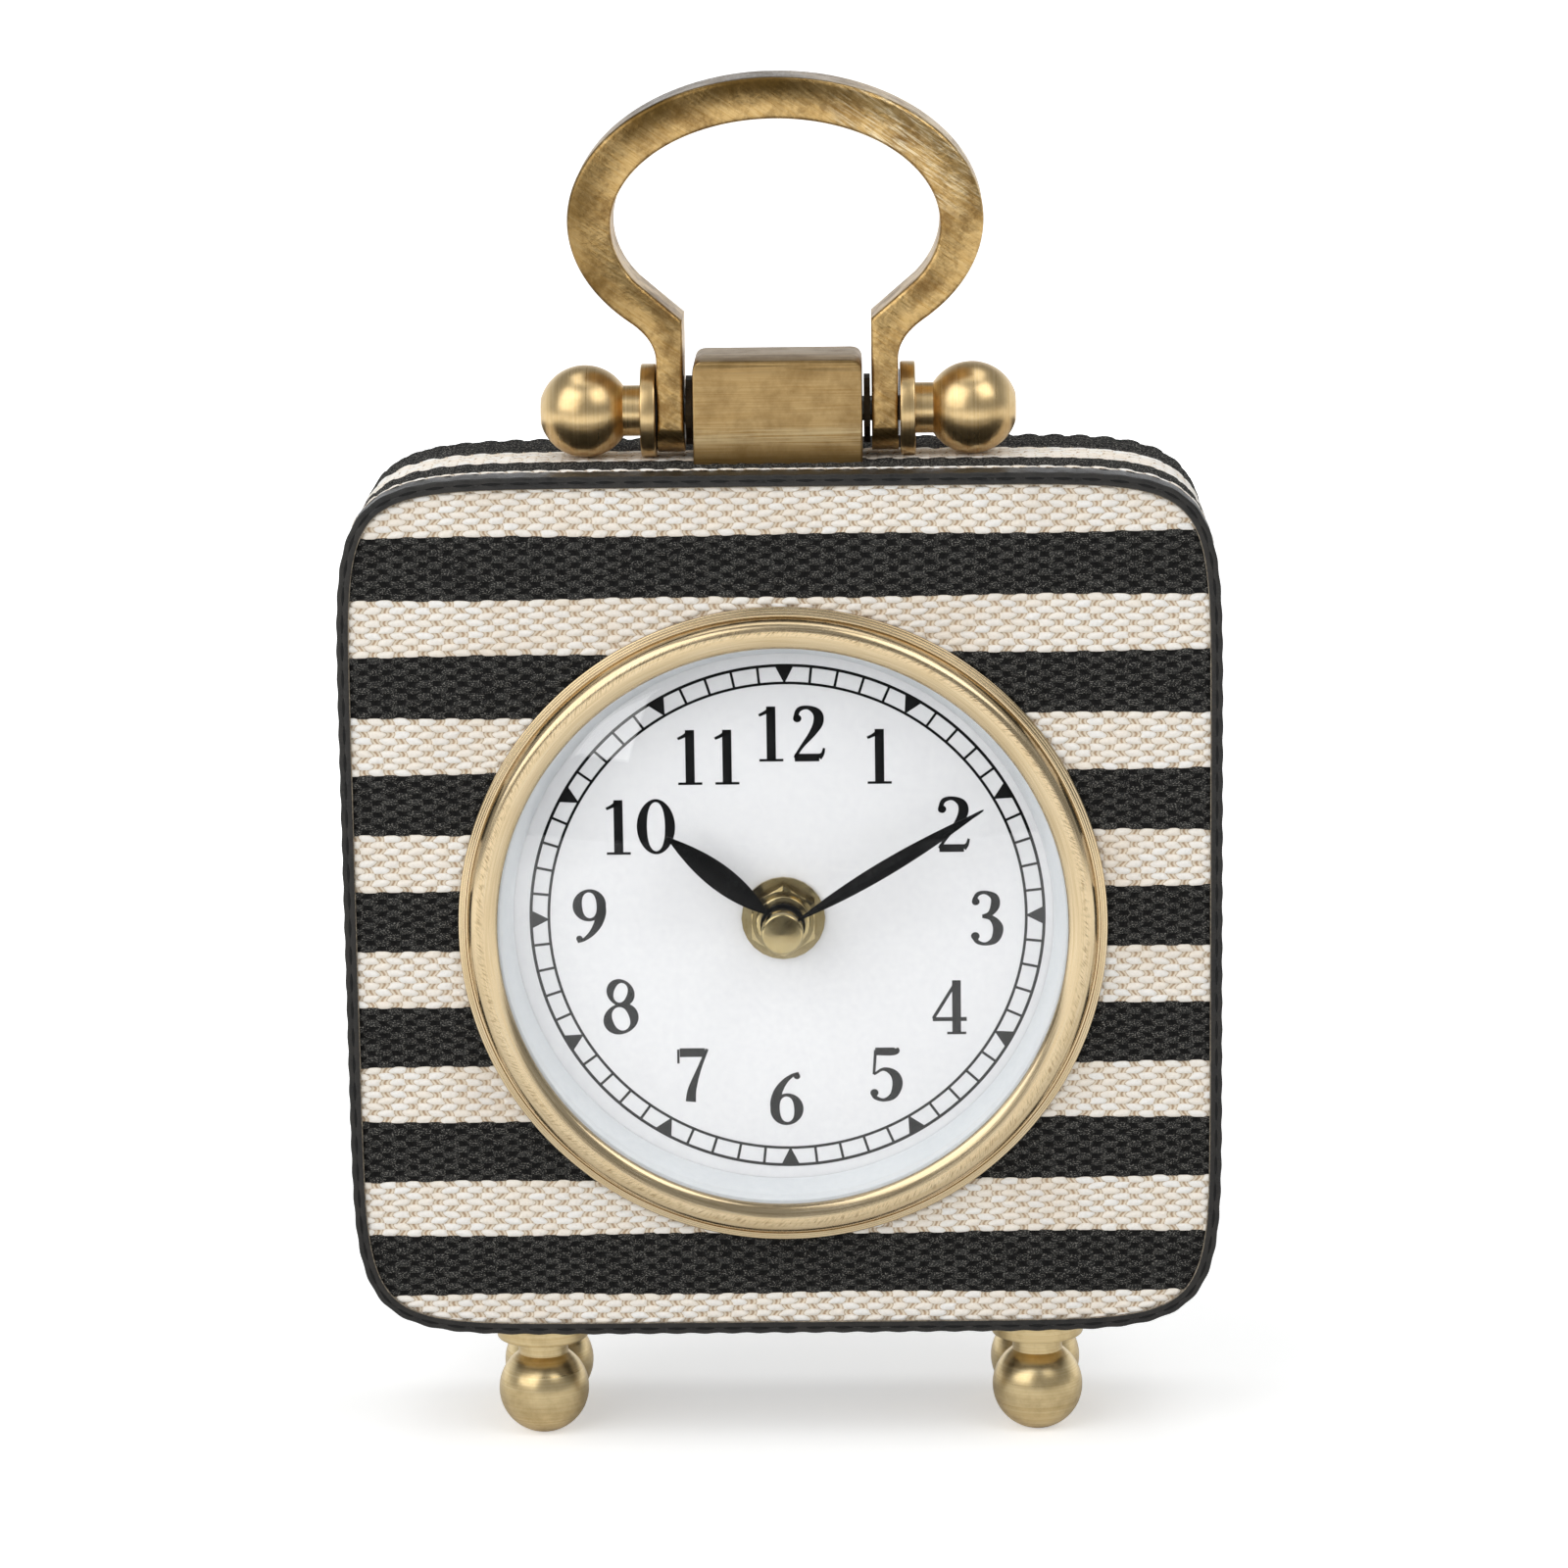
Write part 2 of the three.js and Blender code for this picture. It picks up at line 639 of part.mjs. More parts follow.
function buildDial() {
  const bushHole = bushRadius + fit;
  const floorFront = dialThickness + layerGap;
  piece("insert_cup", turned([
    [bushHole, floorFront],
    [cupInside, floorFront],
    [cupInside, frontY],
    [cupRadius, frontY],
    [cupRadius, floorFront + cupFloor],
    [bushHole, floorFront + cupFloor],
  ], roundSteps), "steel", face);
  piece("dial", disc(cupInside - fit, bushHole, 0, dialThickness, roundSteps), "enamel", face);
  piece("dial_collar", turned([
    [cupInside - collarWidth, -layerGap],
    [cupInside - fit, -layerGap],
    [cupInside - fit, layerGap - crystalEdge],
    [bezelOpening - fit, layerGap - crystalEdge],
  ], roundSteps), "enamel", face);

  const rimInside = bezelOpening - fit;
  const rise = crystalHeight - crystalEdge;
  const domeRadius = (rimInside ** 2 + rise ** 2) / (2 * rise);
  const dome = (r) => Math.sqrt(domeRadius ** 2 - r ** 2) - (domeRadius - rise);
  const steps = 4;
  const outer = [];
  const inner = [];
  for (let i = 0; i <= steps; i += 1) {
    const r = (rimInside * i) / steps;
    outer.push([r, -crystalEdge - crystalThickness - dome(r)]);
    inner.unshift([r, -crystalEdge - dome(r)]);
  }
  const crystal = turned([
    ...outer,
    [cupInside - fit, -crystalEdge - crystalThickness],
    [cupInside - fit, -crystalEdge],
    ...inner,
  ], roundSteps);
  piece("crystal", crystal, "glass", face);
  piece("bezel", bezelSolid(), "brass", face);
}

// The bezel: a flat flange on the canvas, a groove, a round moulding and a slope down to the glass.
function bezelSolid() {
  const flangeBack = dialSink + seat;
  const flangeFront = flangeBack + 1;
  const crest = dialSink + bezelRise;
  const lipBack = crystalEdge + crystalThickness + layerGap;
  const lipFront = lipBack + bezelLipThickness;
  const profile = [
    [cupInside, flangeBack],
    [bezelRadius, flangeBack],
    [bezelRadius, flangeFront - 0.3],
    [bezelRadius - 0.3, flangeFront],
    [bezelGroove + 0.2, flangeFront],
    [bezelGroove, flangeFront - 0.3],
  ];
  const steps = 3;
  for (let i = 0; i <= steps; i += 1) {
    const a = (Math.PI / 2) * (i / steps);
    const r = bezelCrest + (bezelGroove - 0.3 - bezelCrest) * Math.cos(a);
    profile.push([r, flangeFront - 0.3 + (crest - flangeFront + 0.3) * Math.sin(a)]);
  }
  for (let i = 1; i <= steps; i += 1) {
    const a = (Math.PI / 2) * (i / steps);
    const r = bezelCrest - (bezelCrest - bezelOpening) * Math.sin(a);
    profile.push([r, lipFront + (crest - lipFront) * Math.cos(a)]);
  }
  profile.push([bezelOpening, lipBack], [cupInside, lipBack]);
  return turned(profile.map(([r, p]) => [r, -p]), roundSteps);
}

// A leaf shaped hand with a raised line along its middle, pointing at angle, its back at plane.
function handSolid(length, width, hub, hole, plane, angle) {
  const steps = 8;
  const start = hub - 0.6;
  const sections = [];
  for (let i = 0; i <= steps; i += 1) {
    const t = i / steps;
    const leaf = Math.sin(Math.PI * t ** 0.9) ** 0.85;
    const tip = 0.12 * width;
    const half = Math.max((width / 2) * leaf, i < steps ? tip + 0.2 : tip);
    const crease = handThickness + (handCrease * half * 2) / width;
    const z = start + (length - start) * t;
    sections.push([[-half, 0], [half, 0], [half, handThickness], [0, crease], [-half, handThickness]]
      .map(([x, p]) => new THREE.Vector3(x, -plane - p, z)));
  }
  const leafSolid = loft(sections);
  const ring = disc(hub, 0, -plane - handThickness - 0.2, -plane);
  const arbor = disc(hole, 0, -plane - 2, -plane + 2, 16);
  const turn = (angle * Math.PI) / 180;
  return cut(join(ring, leafSolid), arbor).rotateY(turn);
}

// Joins sections with equal numbers of points and closes both ends.
function loft(sections) {
  const count = sections[0].length;
  const faces = [];
  for (let i = 0; i + 1 < sections.length; i += 1) {
    for (let j = 0; j < count; j += 1) {
      const k = (j + 1) % count;
      const [a, b] = [i * count, (i + 1) * count];
      faces.push(a + j, b + j, b + k, a + j, b + k, a + k);
    }
  }
  const last = (sections.length - 1) * count;
  for (let j = 1; j + 1 < count; j += 1) {
    faces.push(0, j, j + 1);
    faces.push(last, last + j + 1, last + j);
  }
  const geometry = new THREE.BufferGeometry();
  geometry.setAttribute("position", new THREE.Float32BufferAttribute(
    sections.flat().flatMap((point) => point.toArray()), 3,
  ));
  geometry.setIndex(faces);
  return closed(geometry);
}

function buildHands() {
  const washerBack = layerGap;
  const nutBack = washerBack + washerThickness + layerGap;
  const nutFront = nutBack + nutThickness;
  piece("dial_washer", disc(
    washerDiameter / 2, bushRadius + layerGap, -washerBack - washerThickness, -washerBack,
  ), "brass", face);
  const across6 = nutAcrossFlats / Math.sqrt(3);
  const nutBody = turned([
    [0, -nutBack],
    [across6, -nutBack],
    [across6, 0.4 - nutFront],
    [nutAcrossFlats / 2, -nutFront],
    [0, -nutFront],
  ]);
  const hexagon = disc(across6, 0, -nutFront - 1, 1 - nutBack, 6);
  const bore = disc(bushRadius + layerGap, 0, -nutFront - 1, 1);
  piece("dial_nut", cut(common(nutBody, hexagon), bore), "brass", face);

  piece("hour_hand", handSolid(
    hourHandLength, hourHandWidth, hourHubRadius, hourPipeRadius + layerGap, hourHandPlane, hourAngle,
  ), "black", face);
  piece("minute_hand", handSolid(
    minuteHandLength, minuteHandWidth, minuteHubRadius, minuteArborRadius + layerGap,
    minuteHandPlane, minuteAngle,
  ), "black", face);
  const capBack = capNutFront - capNutLength;
  const arborFront = capNutFront - 1.6;
  piece("cap_nut", turned([
    [minuteArborRadius + layerGap, -capBack],
    [capNutRadius, -capBack],
    [capNutRadius, 0.7 - capNutFront],
    [capNutRadius - 0.25, 0.45 - capNutFront],
    [0, -capNutFront],
    [0, -arborFront - seat],
    [minuteArborRadius + layerGap, -arborFront - seat],
  ]), "brass", face);
  return arborFront;
}

// A spur gear outline with slim teeth; its first tooth points at the angle of phase.
function gearShape(teeth, phase) {
  const pitch = (gearModule * teeth) / 2;
  const tip = pitch + 0.8 * gearModule;
  const root = pitch - 1.1 * gearModule;
  const flank = [[-0.3, root], [-0.1, tip], [0.1, tip], [0.3, root]];
  const points = [];
  for (let i = 0; i < teeth; i += 1) {
    for (const [share, radius] of flank) {
      const a = phase + (2 * Math.PI * (i + share)) / teeth;
      points.push(new THREE.Vector2(radius * Math.cos(a), radius * Math.sin(a)));
    }
  }
  return new THREE.Shape(points);
}

// Where the parts of the movement stand behind the dial.
const shellFront = dialThickness + layerGap + cupFloor + seat;
const shellRear = shellFront + movementDepth;
const plateRear = shellFront + movementWall;
const shellSplit = shellFront + movementDepth / 2;
const halfMovement = movementSize / 2;
const inHalf = halfMovement - movementWall;
const wheelDistance = (gearModule * (cannonTeeth + minuteWheelTeeth)) / 2;
const bearing = (minuteWheelBearing * Math.PI) / 180;
const wheelX = wheelDistance * Math.cos(bearing);
const wheelZ = wheelDistance * Math.sin(bearing);
const cellZ = -inHalf + seat + cellDiameter / 2;
const cellY = plateRear + seat + cellDiameter / 2;
const bayTop = cellZ + cellDiameter / 2 + seat;
const bayWall = 1;
const hourWheelFront = plateRear + seat;
const hourWheelRear = hourWheelFront + 1;
const minuteWheelFront = hourWheelRear + 0.8;
const minuteWheelRear = minuteWheelFront + 1.2;
const settingRadius = 1.2; // arbor of the minute wheel
const statorFront = shellFront + 7;
const rotorX = driveEdge + statorWidth / 2 - halfMovement;
const coilZ = halfMovement - driveEdge - coilRadius;
const rotorZ = coilZ - statorReach;
const circuitX = halfMovement - driveEdge - circuitWidth / 2;
const circuitTop = halfMovement - driveEdge;
const circuitBottom = bayTop + bayWall + driveEdge;

function tray(y0, y1, wallY0, wallY1) {
  const plateSolid = plate(roundedRectangle(movementSize, movementSize, movementCorner), y0, y1);
  const ring = roundedRectangle(movementSize, movementSize, movementCorner);
  ring.holes.push(new THREE.Path(
    roundedRectangle(2 * inHalf, 2 * inHalf, movementCorner - movementWall).getPoints(arcSteps).reverse(),
  ));
  const divider = box(-inHalf - 0.5, inHalf + 0.5, wallY0, wallY1, bayTop, bayTop + bayWall);
  return join(plateSolid, plate(ring, wallY0, wallY1), divider);
}

function buildMovement(arborFront) {
  const bushBore = hourPipeRadius + fit;
  const posts = [
    [rotorX - 0.4 * statorWidth, rotorZ - postRadius],
    [rotorX + 0.4 * statorWidth, rotorZ - postRadius],
    [circuitX - circuitWidth / 3, circuitBottom + driveEdge],
    [circuitX + circuitWidth / 3, circuitTop - driveEdge],
  ];
  const postEnd = statorFront - seat;
  const front = join(
    tray(shellFront, plateRear, shellFront, shellSplit),
    pillar(0, 0, bushRadius, -bushFront, plateRear, 24),
    ...posts.map(([x, z]) => pillar(x, z, postRadius, shellFront, postEnd)),
  );
  piece("movement_front", cut(front, pillar(0, 0, bushBore, -bushFront - 1, plateRear + 1, 16)),
    "plastic", face);

  const plateFront = shellRear - movementWall;
  const bay = box(-inHalf, inHalf, shellSplit, shellRear + 1, -inHalf, bayTop);
  const back = cut(
    tray(plateFront, shellRear, shellSplit + layerGap, shellRear),
    bay,
    pillar(wheelX, wheelZ, settingRadius + layerGap, plateFront - 1, shellRear + 1),
    pillar(0, 0, minuteArborRadius + layerGap, plateFront - 1, shellRear + 1),
  );
  piece("movement_back", back, "plastic", face);

  const pipeFront = hourHandPlane + handThickness + 0.3;
  const hourPhase = bearing;
  const wheel32 = plate(gearShape(hourWheelTeeth, hourPhase), hourWheelFront, hourWheelRear);
  const pipe = pillar(0, 0, hourPipeRadius, -pipeFront, hourWheelRear, 16);
  const pipeBore = pillar(0, 0, minuteArborRadius + fit, -pipeFront - 1, hourWheelRear + 1, 12);
  piece("hour_wheel", cut(join(wheel32, pipe), pipeBore), "nylon", face);

  const meet = bearing + Math.PI;
  const minutePhase = meet + Math.PI / minuteWheelTeeth;
  const pinionPhase = meet + Math.PI / minutePinionTeeth;
  const knobBack = shellRear + seat + knobHeight;
  const settingEnd = knobBack - 1;
  const minuteWheel = join(
    plate(gearShape(minuteWheelTeeth, minutePhase), minuteWheelFront, minuteWheelRear),
    plate(gearShape(minutePinionTeeth, pinionPhase), hourWheelFront, minuteWheelFront + 0.5),
    pillar(0, 0, settingRadius, minuteWheelFront, settingEnd),
  );
  piece("minute_wheel", minuteWheel.translate(wheelX, 0, wheelZ), "nylon", face);

  const cannon = join(
    plate(gearShape(cannonTeeth, bearing), minuteWheelFront - 0.3, minuteWheelRear + 0.8),
    pillar(0, 0, minuteArborRadius, -arborFront, shellRear - seat, 12),
  );
  piece("minute_arbor", cannon, "steel", face);

  const knob = disc(knobRadius, 0, shellRear + seat, knobBack);
  const grips = [];
  const gripCount = 12;
  for (let i = 0; i < gripCount; i += 1) {
    const a = (2 * Math.PI * (i + 0.5)) / gripCount;
    const r = knobRadius + 0.35;
    grips.push(pillar(r * Math.cos(a), r * Math.sin(a), 0.8, shellRear, knobBack + 1, 6));
  }
  const knobBore = pillar(0, 0, settingRadius + layerGap, shellRear, settingEnd + layerGap);
  piece("set_knob", cut(knob, ...grips, knobBore).translate(wheelX, 0, wheelZ), "nylon", face);

  const cell = join(
    across(cellY, cellZ, cellDiameter / 2, 0, -cellLength / 2, cellLength / 2 - 1.2, 24),
    across(cellY, cellZ, 2.6, 0, cellLength / 2 - 2, cellLength / 2, 12),
  );
  piece("cell", cell, "cell", face);
  const contactInner = cellLength / 2 + seat;
  const contactOuter = inHalf - seat;
  for (const side of [-1, 1]) {
    const ends = [side * contactInner, side * contactOuter];
    const strip = box(Math.min(...ends), Math.max(...ends), cellY - 4, cellY + 4, cellZ - 4, cellZ + 5);
    piece(side < 0 ? "contact_minus" : "contact_plus", strip, "steel", face);
  }

  buildDrive(statorFront);
}

// The coil and stator that turn the small magnet, and the board that drives them.
function buildDrive(y0) {
  const y1 = y0 + drivePlate;
  const bar = statorBar / 2;
  const top = coilZ + bar;
  const bottom = rotorZ - 2 * statorBar;
  const middleZ = (top + bottom) / 2;
  const ring = roundedRectangle(statorWidth, top - bottom, bar);
  const windowHeight = coilZ - bar - (rotorZ + statorHole + 0.8 * statorBar);
  const windowZ = coilZ - bar - windowHeight / 2 - middleZ;
  const window = roundedRectangle(0.75 * statorWidth, windowHeight, bar).getPoints(arcSteps).reverse();
  ring.holes.push(
    new THREE.Path(window.map((point) => point.add(new THREE.Vector2(0, windowZ)))),
    roundHole(0, rotorZ - middleZ, statorHole),
  );
  piece("stator", plate(ring, y0, y1).translate(rotorX, 0, middleZ), "steel", face);

  const core = box(
    rotorX - coilLength, rotorX + coilLength, y0 - seat, y1 + seat, coilZ - bar - seat, coilZ + bar + seat,
  );
  const coilEnds = [rotorX - coilLength / 2, rotorX + coilLength / 2];
  const coil = across((y0 + y1) / 2, coilZ, coilRadius, 0, ...coilEnds);
  piece("coil", cut(coil, core), "copper", face);

  const arborEnd = shellRear - movementWall - seat;
  piece("rotor", turned([
    [0, plateRear + seat],
    [rotorArbor, plateRear + seat],
    [rotorArbor, y0 - drivePlate],
    [rotorRadius, y0 - drivePlate],
    [rotorRadius, y1 + drivePlate],
    [rotorArbor, y1 + drivePlate],
    [rotorArbor, arborEnd],
    [0, arborEnd],
  ], 16).translate(rotorX, 0, rotorZ), "steel", face);

  const board = box(
    circuitX - circuitWidth / 2, circuitX + circuitWidth / 2, y0, y1, circuitBottom, circuitTop,
  );
  piece("circuit_board", board, "circuit", face);
  const can = disc(canRadius, 0, -canLength / 2, canLength / 2, 12).rotateX(Math.PI / 2);
  piece("crystal_can", can.translate(circuitX, y1 + canRadius + layerGap, (circuitTop + circuitBottom) / 2),
    "steel", face);
}

buildCase();
buildFeet();
buildHandle();
buildDial();
buildMovement(buildHands());

export default clock;
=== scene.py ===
# The looks of a small standing clock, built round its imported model.
# Lengths are written in millimetres; a mesh is scaled to metres when it is made.
import math

import bmesh
import bpy
import numpy as np
from mathutils import Matrix, Vector


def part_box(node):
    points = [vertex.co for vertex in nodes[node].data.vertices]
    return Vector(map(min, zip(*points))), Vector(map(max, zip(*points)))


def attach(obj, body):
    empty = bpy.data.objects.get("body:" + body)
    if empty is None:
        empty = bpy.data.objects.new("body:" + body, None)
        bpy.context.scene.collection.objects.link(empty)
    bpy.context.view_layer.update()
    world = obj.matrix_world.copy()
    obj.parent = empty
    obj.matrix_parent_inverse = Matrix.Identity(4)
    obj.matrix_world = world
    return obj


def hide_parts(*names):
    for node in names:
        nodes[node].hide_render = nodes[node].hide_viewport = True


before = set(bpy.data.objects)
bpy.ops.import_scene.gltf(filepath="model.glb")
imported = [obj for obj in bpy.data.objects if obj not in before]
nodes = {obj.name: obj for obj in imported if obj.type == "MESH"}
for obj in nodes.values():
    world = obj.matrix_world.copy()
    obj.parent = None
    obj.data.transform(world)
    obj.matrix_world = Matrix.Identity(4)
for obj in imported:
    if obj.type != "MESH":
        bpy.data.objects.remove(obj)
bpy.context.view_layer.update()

# ---- Boards: the case is a ring and a front of fibreboard, with a black hardboard cover let into
# the back and held by four screws. The bare fibreboard shows round the cover and through its window.


def colour(code):
    """A written colour as the linear values that Blender works in."""
    parts = [int(code[i:i + 2], 16) / 255 for i in (1, 3, 5)]
    linear = [((p + 0.055) / 1.055) ** 2.4 if p > 0.04045 else p / 12.92 for p in parts]
    return (*linear, 1.0)


def feed(tree, sockets, values):
    """Links each value that is a socket to its own socket, and writes in any other, a colour by its code."""
    for key, value in values.items():
        if isinstance(value, bpy.types.NodeSocket):
            tree.links.new(value, sockets[key])
        else:
            sockets[key].default_value = colour(value) if isinstance(value, str) else value


def add(tree, kind, values=None, **settings):
    """Adds a shader node with its settings and the values of its sockets."""
    node = tree.nodes.new("ShaderNode" + kind)
    for key, value in settings.items():
        setattr(node, key, value)
    feed(tree, node.inputs, values or {})
    return node


def new_group(name, inputs, outputs):
    """An empty node group, with the sockets that its inputs give and its outputs take."""
    tree = bpy.data.node_groups.new(name, "ShaderNodeTree")
    for label, kind, value in inputs:
        socket = tree.interface.new_socket(label, in_out="INPUT", socket_type="NodeSocket" + kind)
        socket.default_value = value
    for label, kind in outputs:
        tree.interface.new_socket(label, in_out="OUTPUT", socket_type="NodeSocket" + kind)
    return tree, tree.nodes.new("NodeGroupInput").outputs, tree.nodes.new("NodeGroupOutput").inputs


def use_group(tree, group, **values):
    return add(tree, "Group", values, node_tree=group).outputs


def maths(tree, operation, a, b=0.0):
    return add(tree, "Math", {0: a, 1: b}, operation=operation).outputs[0]


def times(tree, product, *values):
    for value in values:
        product = maths(tree, "MULTIPLY", product, value)
    return product


def plus(tree, total, *values):
    for value in values:
        total = maths(tree, "ADD", total, value)
    return total


def ramp(tree, value, low, high, dark=0.0, light=1.0):
    """Spreads a value between low and high over dark to light."""
    values = {"Value": value, "From Min": low, "From Max": high, "To Min": dark, "To Max": light}
    return add(tree, "MapRange", values).outputs["Result"]


def blend_colours(tree, share, a, b):
    return add(tree, "Mix", {"Factor": share, 6: a, 7: b}, data_type="RGBA").outputs[2]


def on_piece(tree):
    """The place on a piece, in metres."""
    return add(tree, "TexCoord").outputs["Object"]


def scaled(tree, place, by):
    return add(tree, "VectorMath", {0: place, 1: by}, operation="MULTIPLY").outputs[0]


def noise(tree, place, scale, detail, roughness=0.5):
    values = {"Vector": place, "Scale": scale, "Detail": detail, "Roughness": roughness}
    return add(tree, "TexNoise", values).outputs["Fac"]


grain, given, result = new_group("grain", [("Scale", "Vector", (1, 1, 1))], [("Fine", "Float"), ("Broad", "Float")])
place = on_piece(grain)
feed(grain, result, {"Fine": noise(grain, scaled(grain, place, given["Scale"]), 1.0, 4.0, 0.6),
                     "Broad": noise(grain, place, 60.0, 3.0)})


def start_material(name, **values):
    made = bpy.data.materials.new(name)
    made.use_nodes = True
    shader = made.node_tree.nodes["Principled BSDF"]
    for key, value in values.items():
        shader.inputs[key.replace("_", " ")].default_value = value
    return made, made.node_tree, shader


def finish_material(tree, shader, base, height, depth, roughness=None):
    """Joins colour, a bump of a depth in millimetres and, where it varies, roughness to a shader."""
    bump = add(tree, "Bump", {"Height": height, "Distance": depth / 1000, "Strength": 1.0})
    feed(tree, shader.inputs, {"Base Color": base, "Normal": bump.outputs["Normal"]})
    if roughness is not None:
        feed(tree, shader.inputs, {"Roughness": roughness})


EVEN_GRAIN = (900.0, 900.0, 900.0)


def grained(name, light, dark, rough, depth, scale=EVEN_GRAIN, **values):
    """A plain material whose colour, gloss and surface follow a stretched grain."""
    made, tree, shader = start_material(name, **values)
    out = use_group(tree, grain, Scale=scale)
    share = plus(tree, times(tree, out["Fine"], 0.7), times(tree, out["Broad"], 0.3))
    base = blend_colours(tree, ramp(tree, share, 0.35, 0.65), dark, light)
    finish_material(tree, shader, base, out["Fine"], depth, ramp(tree, out["Fine"], 0.3, 0.7, *rough))
    return made


def dress(material, *names):
    """Gives CAD nodes a material."""
    for name in names:
        mesh = nodes[name].data
        mesh.materials.clear()
        mesh.materials.append(material)


dress(grained("fibreboard", "#a98a60", "#7d6341", rough=(0.8, 0.95), depth=0.06), "front_board", "case_frame")
dress(grained("black_hardboard", "#252423", "#171616", rough=(0.55, 0.75), depth=0.04), "rear_cover")
zinc = grained("zinc_plate", "#b9bdbf", "#85898c", rough=(0.28, 0.45), depth=0.01, scale=(700.0, 700.0, 2500.0),
               Metallic=1.0)
dress(zinc, *[name for name in nodes if "_screw_" in name])

# ---- Canvas: heavy cotton cloth glued to the boards, black and cream stripes of one weave. Each
# row of floats is shifted half a float against the next. One piece covers the front and a strip
# goes round the sides and turns over the rear edge.
STRIPE_PITCH, PERIOD_ROWS, BLACK_ROWS = 18.06, 19, 10
ROW_PITCH = STRIPE_PITCH / PERIOD_ROWS
FLOAT_PITCH = 3.8
FLOAT_HALF_LENGTH, FLOAT_FULLNESS = 1.25, 3.4
FLOAT_HALF_WIDTH, FLOAT_ROUNDNESS = 0.56, 3.0
WARP_PITCH = 0.76
RELIEF, RELIEF_MIDDLE = 0.4, 0.7
FAR_ROWS, FAR_FLOATS = 10 * PERIOD_ROWS, 100  # added to keep the counts of rows and floats above zero
CORNER_POWER = 9.3


def box_mm(name):
    """The lower and the upper corner of a CAD node's box."""
    return [corner * 1000 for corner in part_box(name)]


case_low, case_high = box_mm("front_binding")
case_centre = (case_low + case_high) / 2
half_width, _, half_height = (case_high - case_low) / 2
dial_low, dial_high = box_mm("dial")
dial_centre, dial_front = (dial_low + dial_high) / 2, dial_low.y
canvas_front = box_mm("front_canvas")[0].y
canvas_rear = box_mm("side_canvas")[1].y


def add_object(name, data):
    made = bpy.data.objects.new(name, data)
    bpy.context.scene.collection.objects.link(made)
    return made


def make_mesh(name, points, faces, materials, smooth=180):
    """A mesh object, smooth except over edges sharper than the angle."""
    mesh = bpy.data.meshes.new(name)
    points = np.asarray(points, np.float32).reshape(-1, 3) / 1000
    mesh.from_pydata(points.tolist(), [], [tuple(map(int, face)) for face in faces])
    mesh.validate()
    mesh.shade_smooth()
    if smooth < 180:
        mesh.set_sharp_from_angle(angle=math.radians(smooth))
    for material in materials:
        mesh.materials.append(material)
    return add_object(name, mesh)


def keep(made, body, slot, *replaced):
    """Fixes a piece to its body and hides the CAD nodes it stands for."""
    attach(made, body)
    if replaced:
        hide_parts(*replaced)


def walked_along(line):
    """How far along a line each of its points lies."""
    return np.concatenate([[0], np.cumsum(np.hypot(*np.diff(line, axis=0).T))])


def even_steps(line, count):
    """Points at even steps along a line, with both its ends."""
    walked = walked_along(line)
    at = np.linspace(0, walked[-1], count + 1)
    return np.stack([np.interp(at, walked, side) for side in np.transpose(line)], -1)


half_case = np.array((half_width, half_height))
t = np.linspace(0, 2 * math.pi, 20001)
circle = np.stack([np.cos(t), np.sin(t)], -1)
case_line = np.sign(circle) * np.abs(circle) ** (2 / CORNER_POWER) * half_case


def outline(count, inset):
    """Points (x, z) at even steps round the case, moved in by inset, and the way out of the case at each."""
    spots = even_steps(case_line, count)[:-1]
    out = np.sign(spots) * np.abs(spots / half_case) ** (CORNER_POWER - 1) / half_case
    out /= np.linalg.norm(out, axis=1, keepdims=True)
    return spots - out * inset, out


def on_case(spots, y):
    """Puts points (x, z) about the middle of the case into the clock's frame, at the depth y."""
    return np.stack([spots[:, 0] + case_centre.x, np.broadcast_to(y, len(spots)), spots[:, 1] + case_centre.z], -1)


def weave_height(floats, rows):
    """Height of the cloth, from 0 in its gaps to 1 on a float. A float bulges over the next rows."""
    best = np.zeros(np.shape(floats))
    for step in (-1, 0, 1):
        row = np.floor(rows) + step
        cell = floats + 0.5 * (row % 2)
        along = (cell % 1 - 0.5) * FLOAT_PITCH / FLOAT_HALF_LENGTH
        across = (rows - row - 0.5) * ROW_PITCH / FLOAT_HALF_WIDTH
        plump = 1 + 0.15 * np.sin(12.9 * np.floor(cell) + 78.2 * row)
        oval = 1 - np.abs(along) ** FLOAT_FULLNESS - np.abs(across) ** FLOAT_ROUNDNESS
        best = np.maximum(best, np.sqrt(np.clip(oval, 0, 1)) * plump)
    return best


def uneven(floats, rows):
    """Moves places in the weave a little, as yarns of uneven thickness do."""
    moved = floats + 0.03 * np.sin(4.1 * floats + 2.3 * rows) + 0.06 * np.sin(0.7 * floats - 3.7 * rows + 1.0)
    return moved, rows + 0.05 * np.sin(2.9 * floats + 0.4 * rows) + 0.14 * np.sin(0.43 * floats - 0.3 * rows)


def sheet_faces(wide, high, closed=False, joined=False):
    """Quads over points stored row by row. Closed rows join end to end, and joined ones the last to the first."""
    i, j = np.meshgrid(np.arange(wide if closed else wide - 1), np.arange(high if joined else high - 1))
    k, after = (i + 1) % wide, (j + 1) % high
    return np.stack([j * wide + i, j * wide + k, after * wide + k, after * wide + i], -1).reshape(-1, 4)


def write_weave(made, floats, rows):
    """Stores where each corner lies in the weave, for the material."""
    layer = made.data.uv_layers.new(name="weave")
    corners = np.empty(len(made.data.loops), np.int32)
    made.data.loops.foreach_get("vertex_index", corners)
    layer.data.foreach_set("uv", np.stack([floats[corners], rows[corners]], -1).astype(np.float32).ravel())


def minus(tree, a, b):
    return maths(tree, "SUBTRACT", a, b)


def split(tree, place):
    return add(tree, "SeparateXYZ", {"Vector": place}).outputs


def blend_values(tree, share, a, b):
    return add(tree, "Mix", {"Factor": share, "A": a, "B": b}, data_type="FLOAT").outputs["Result"]


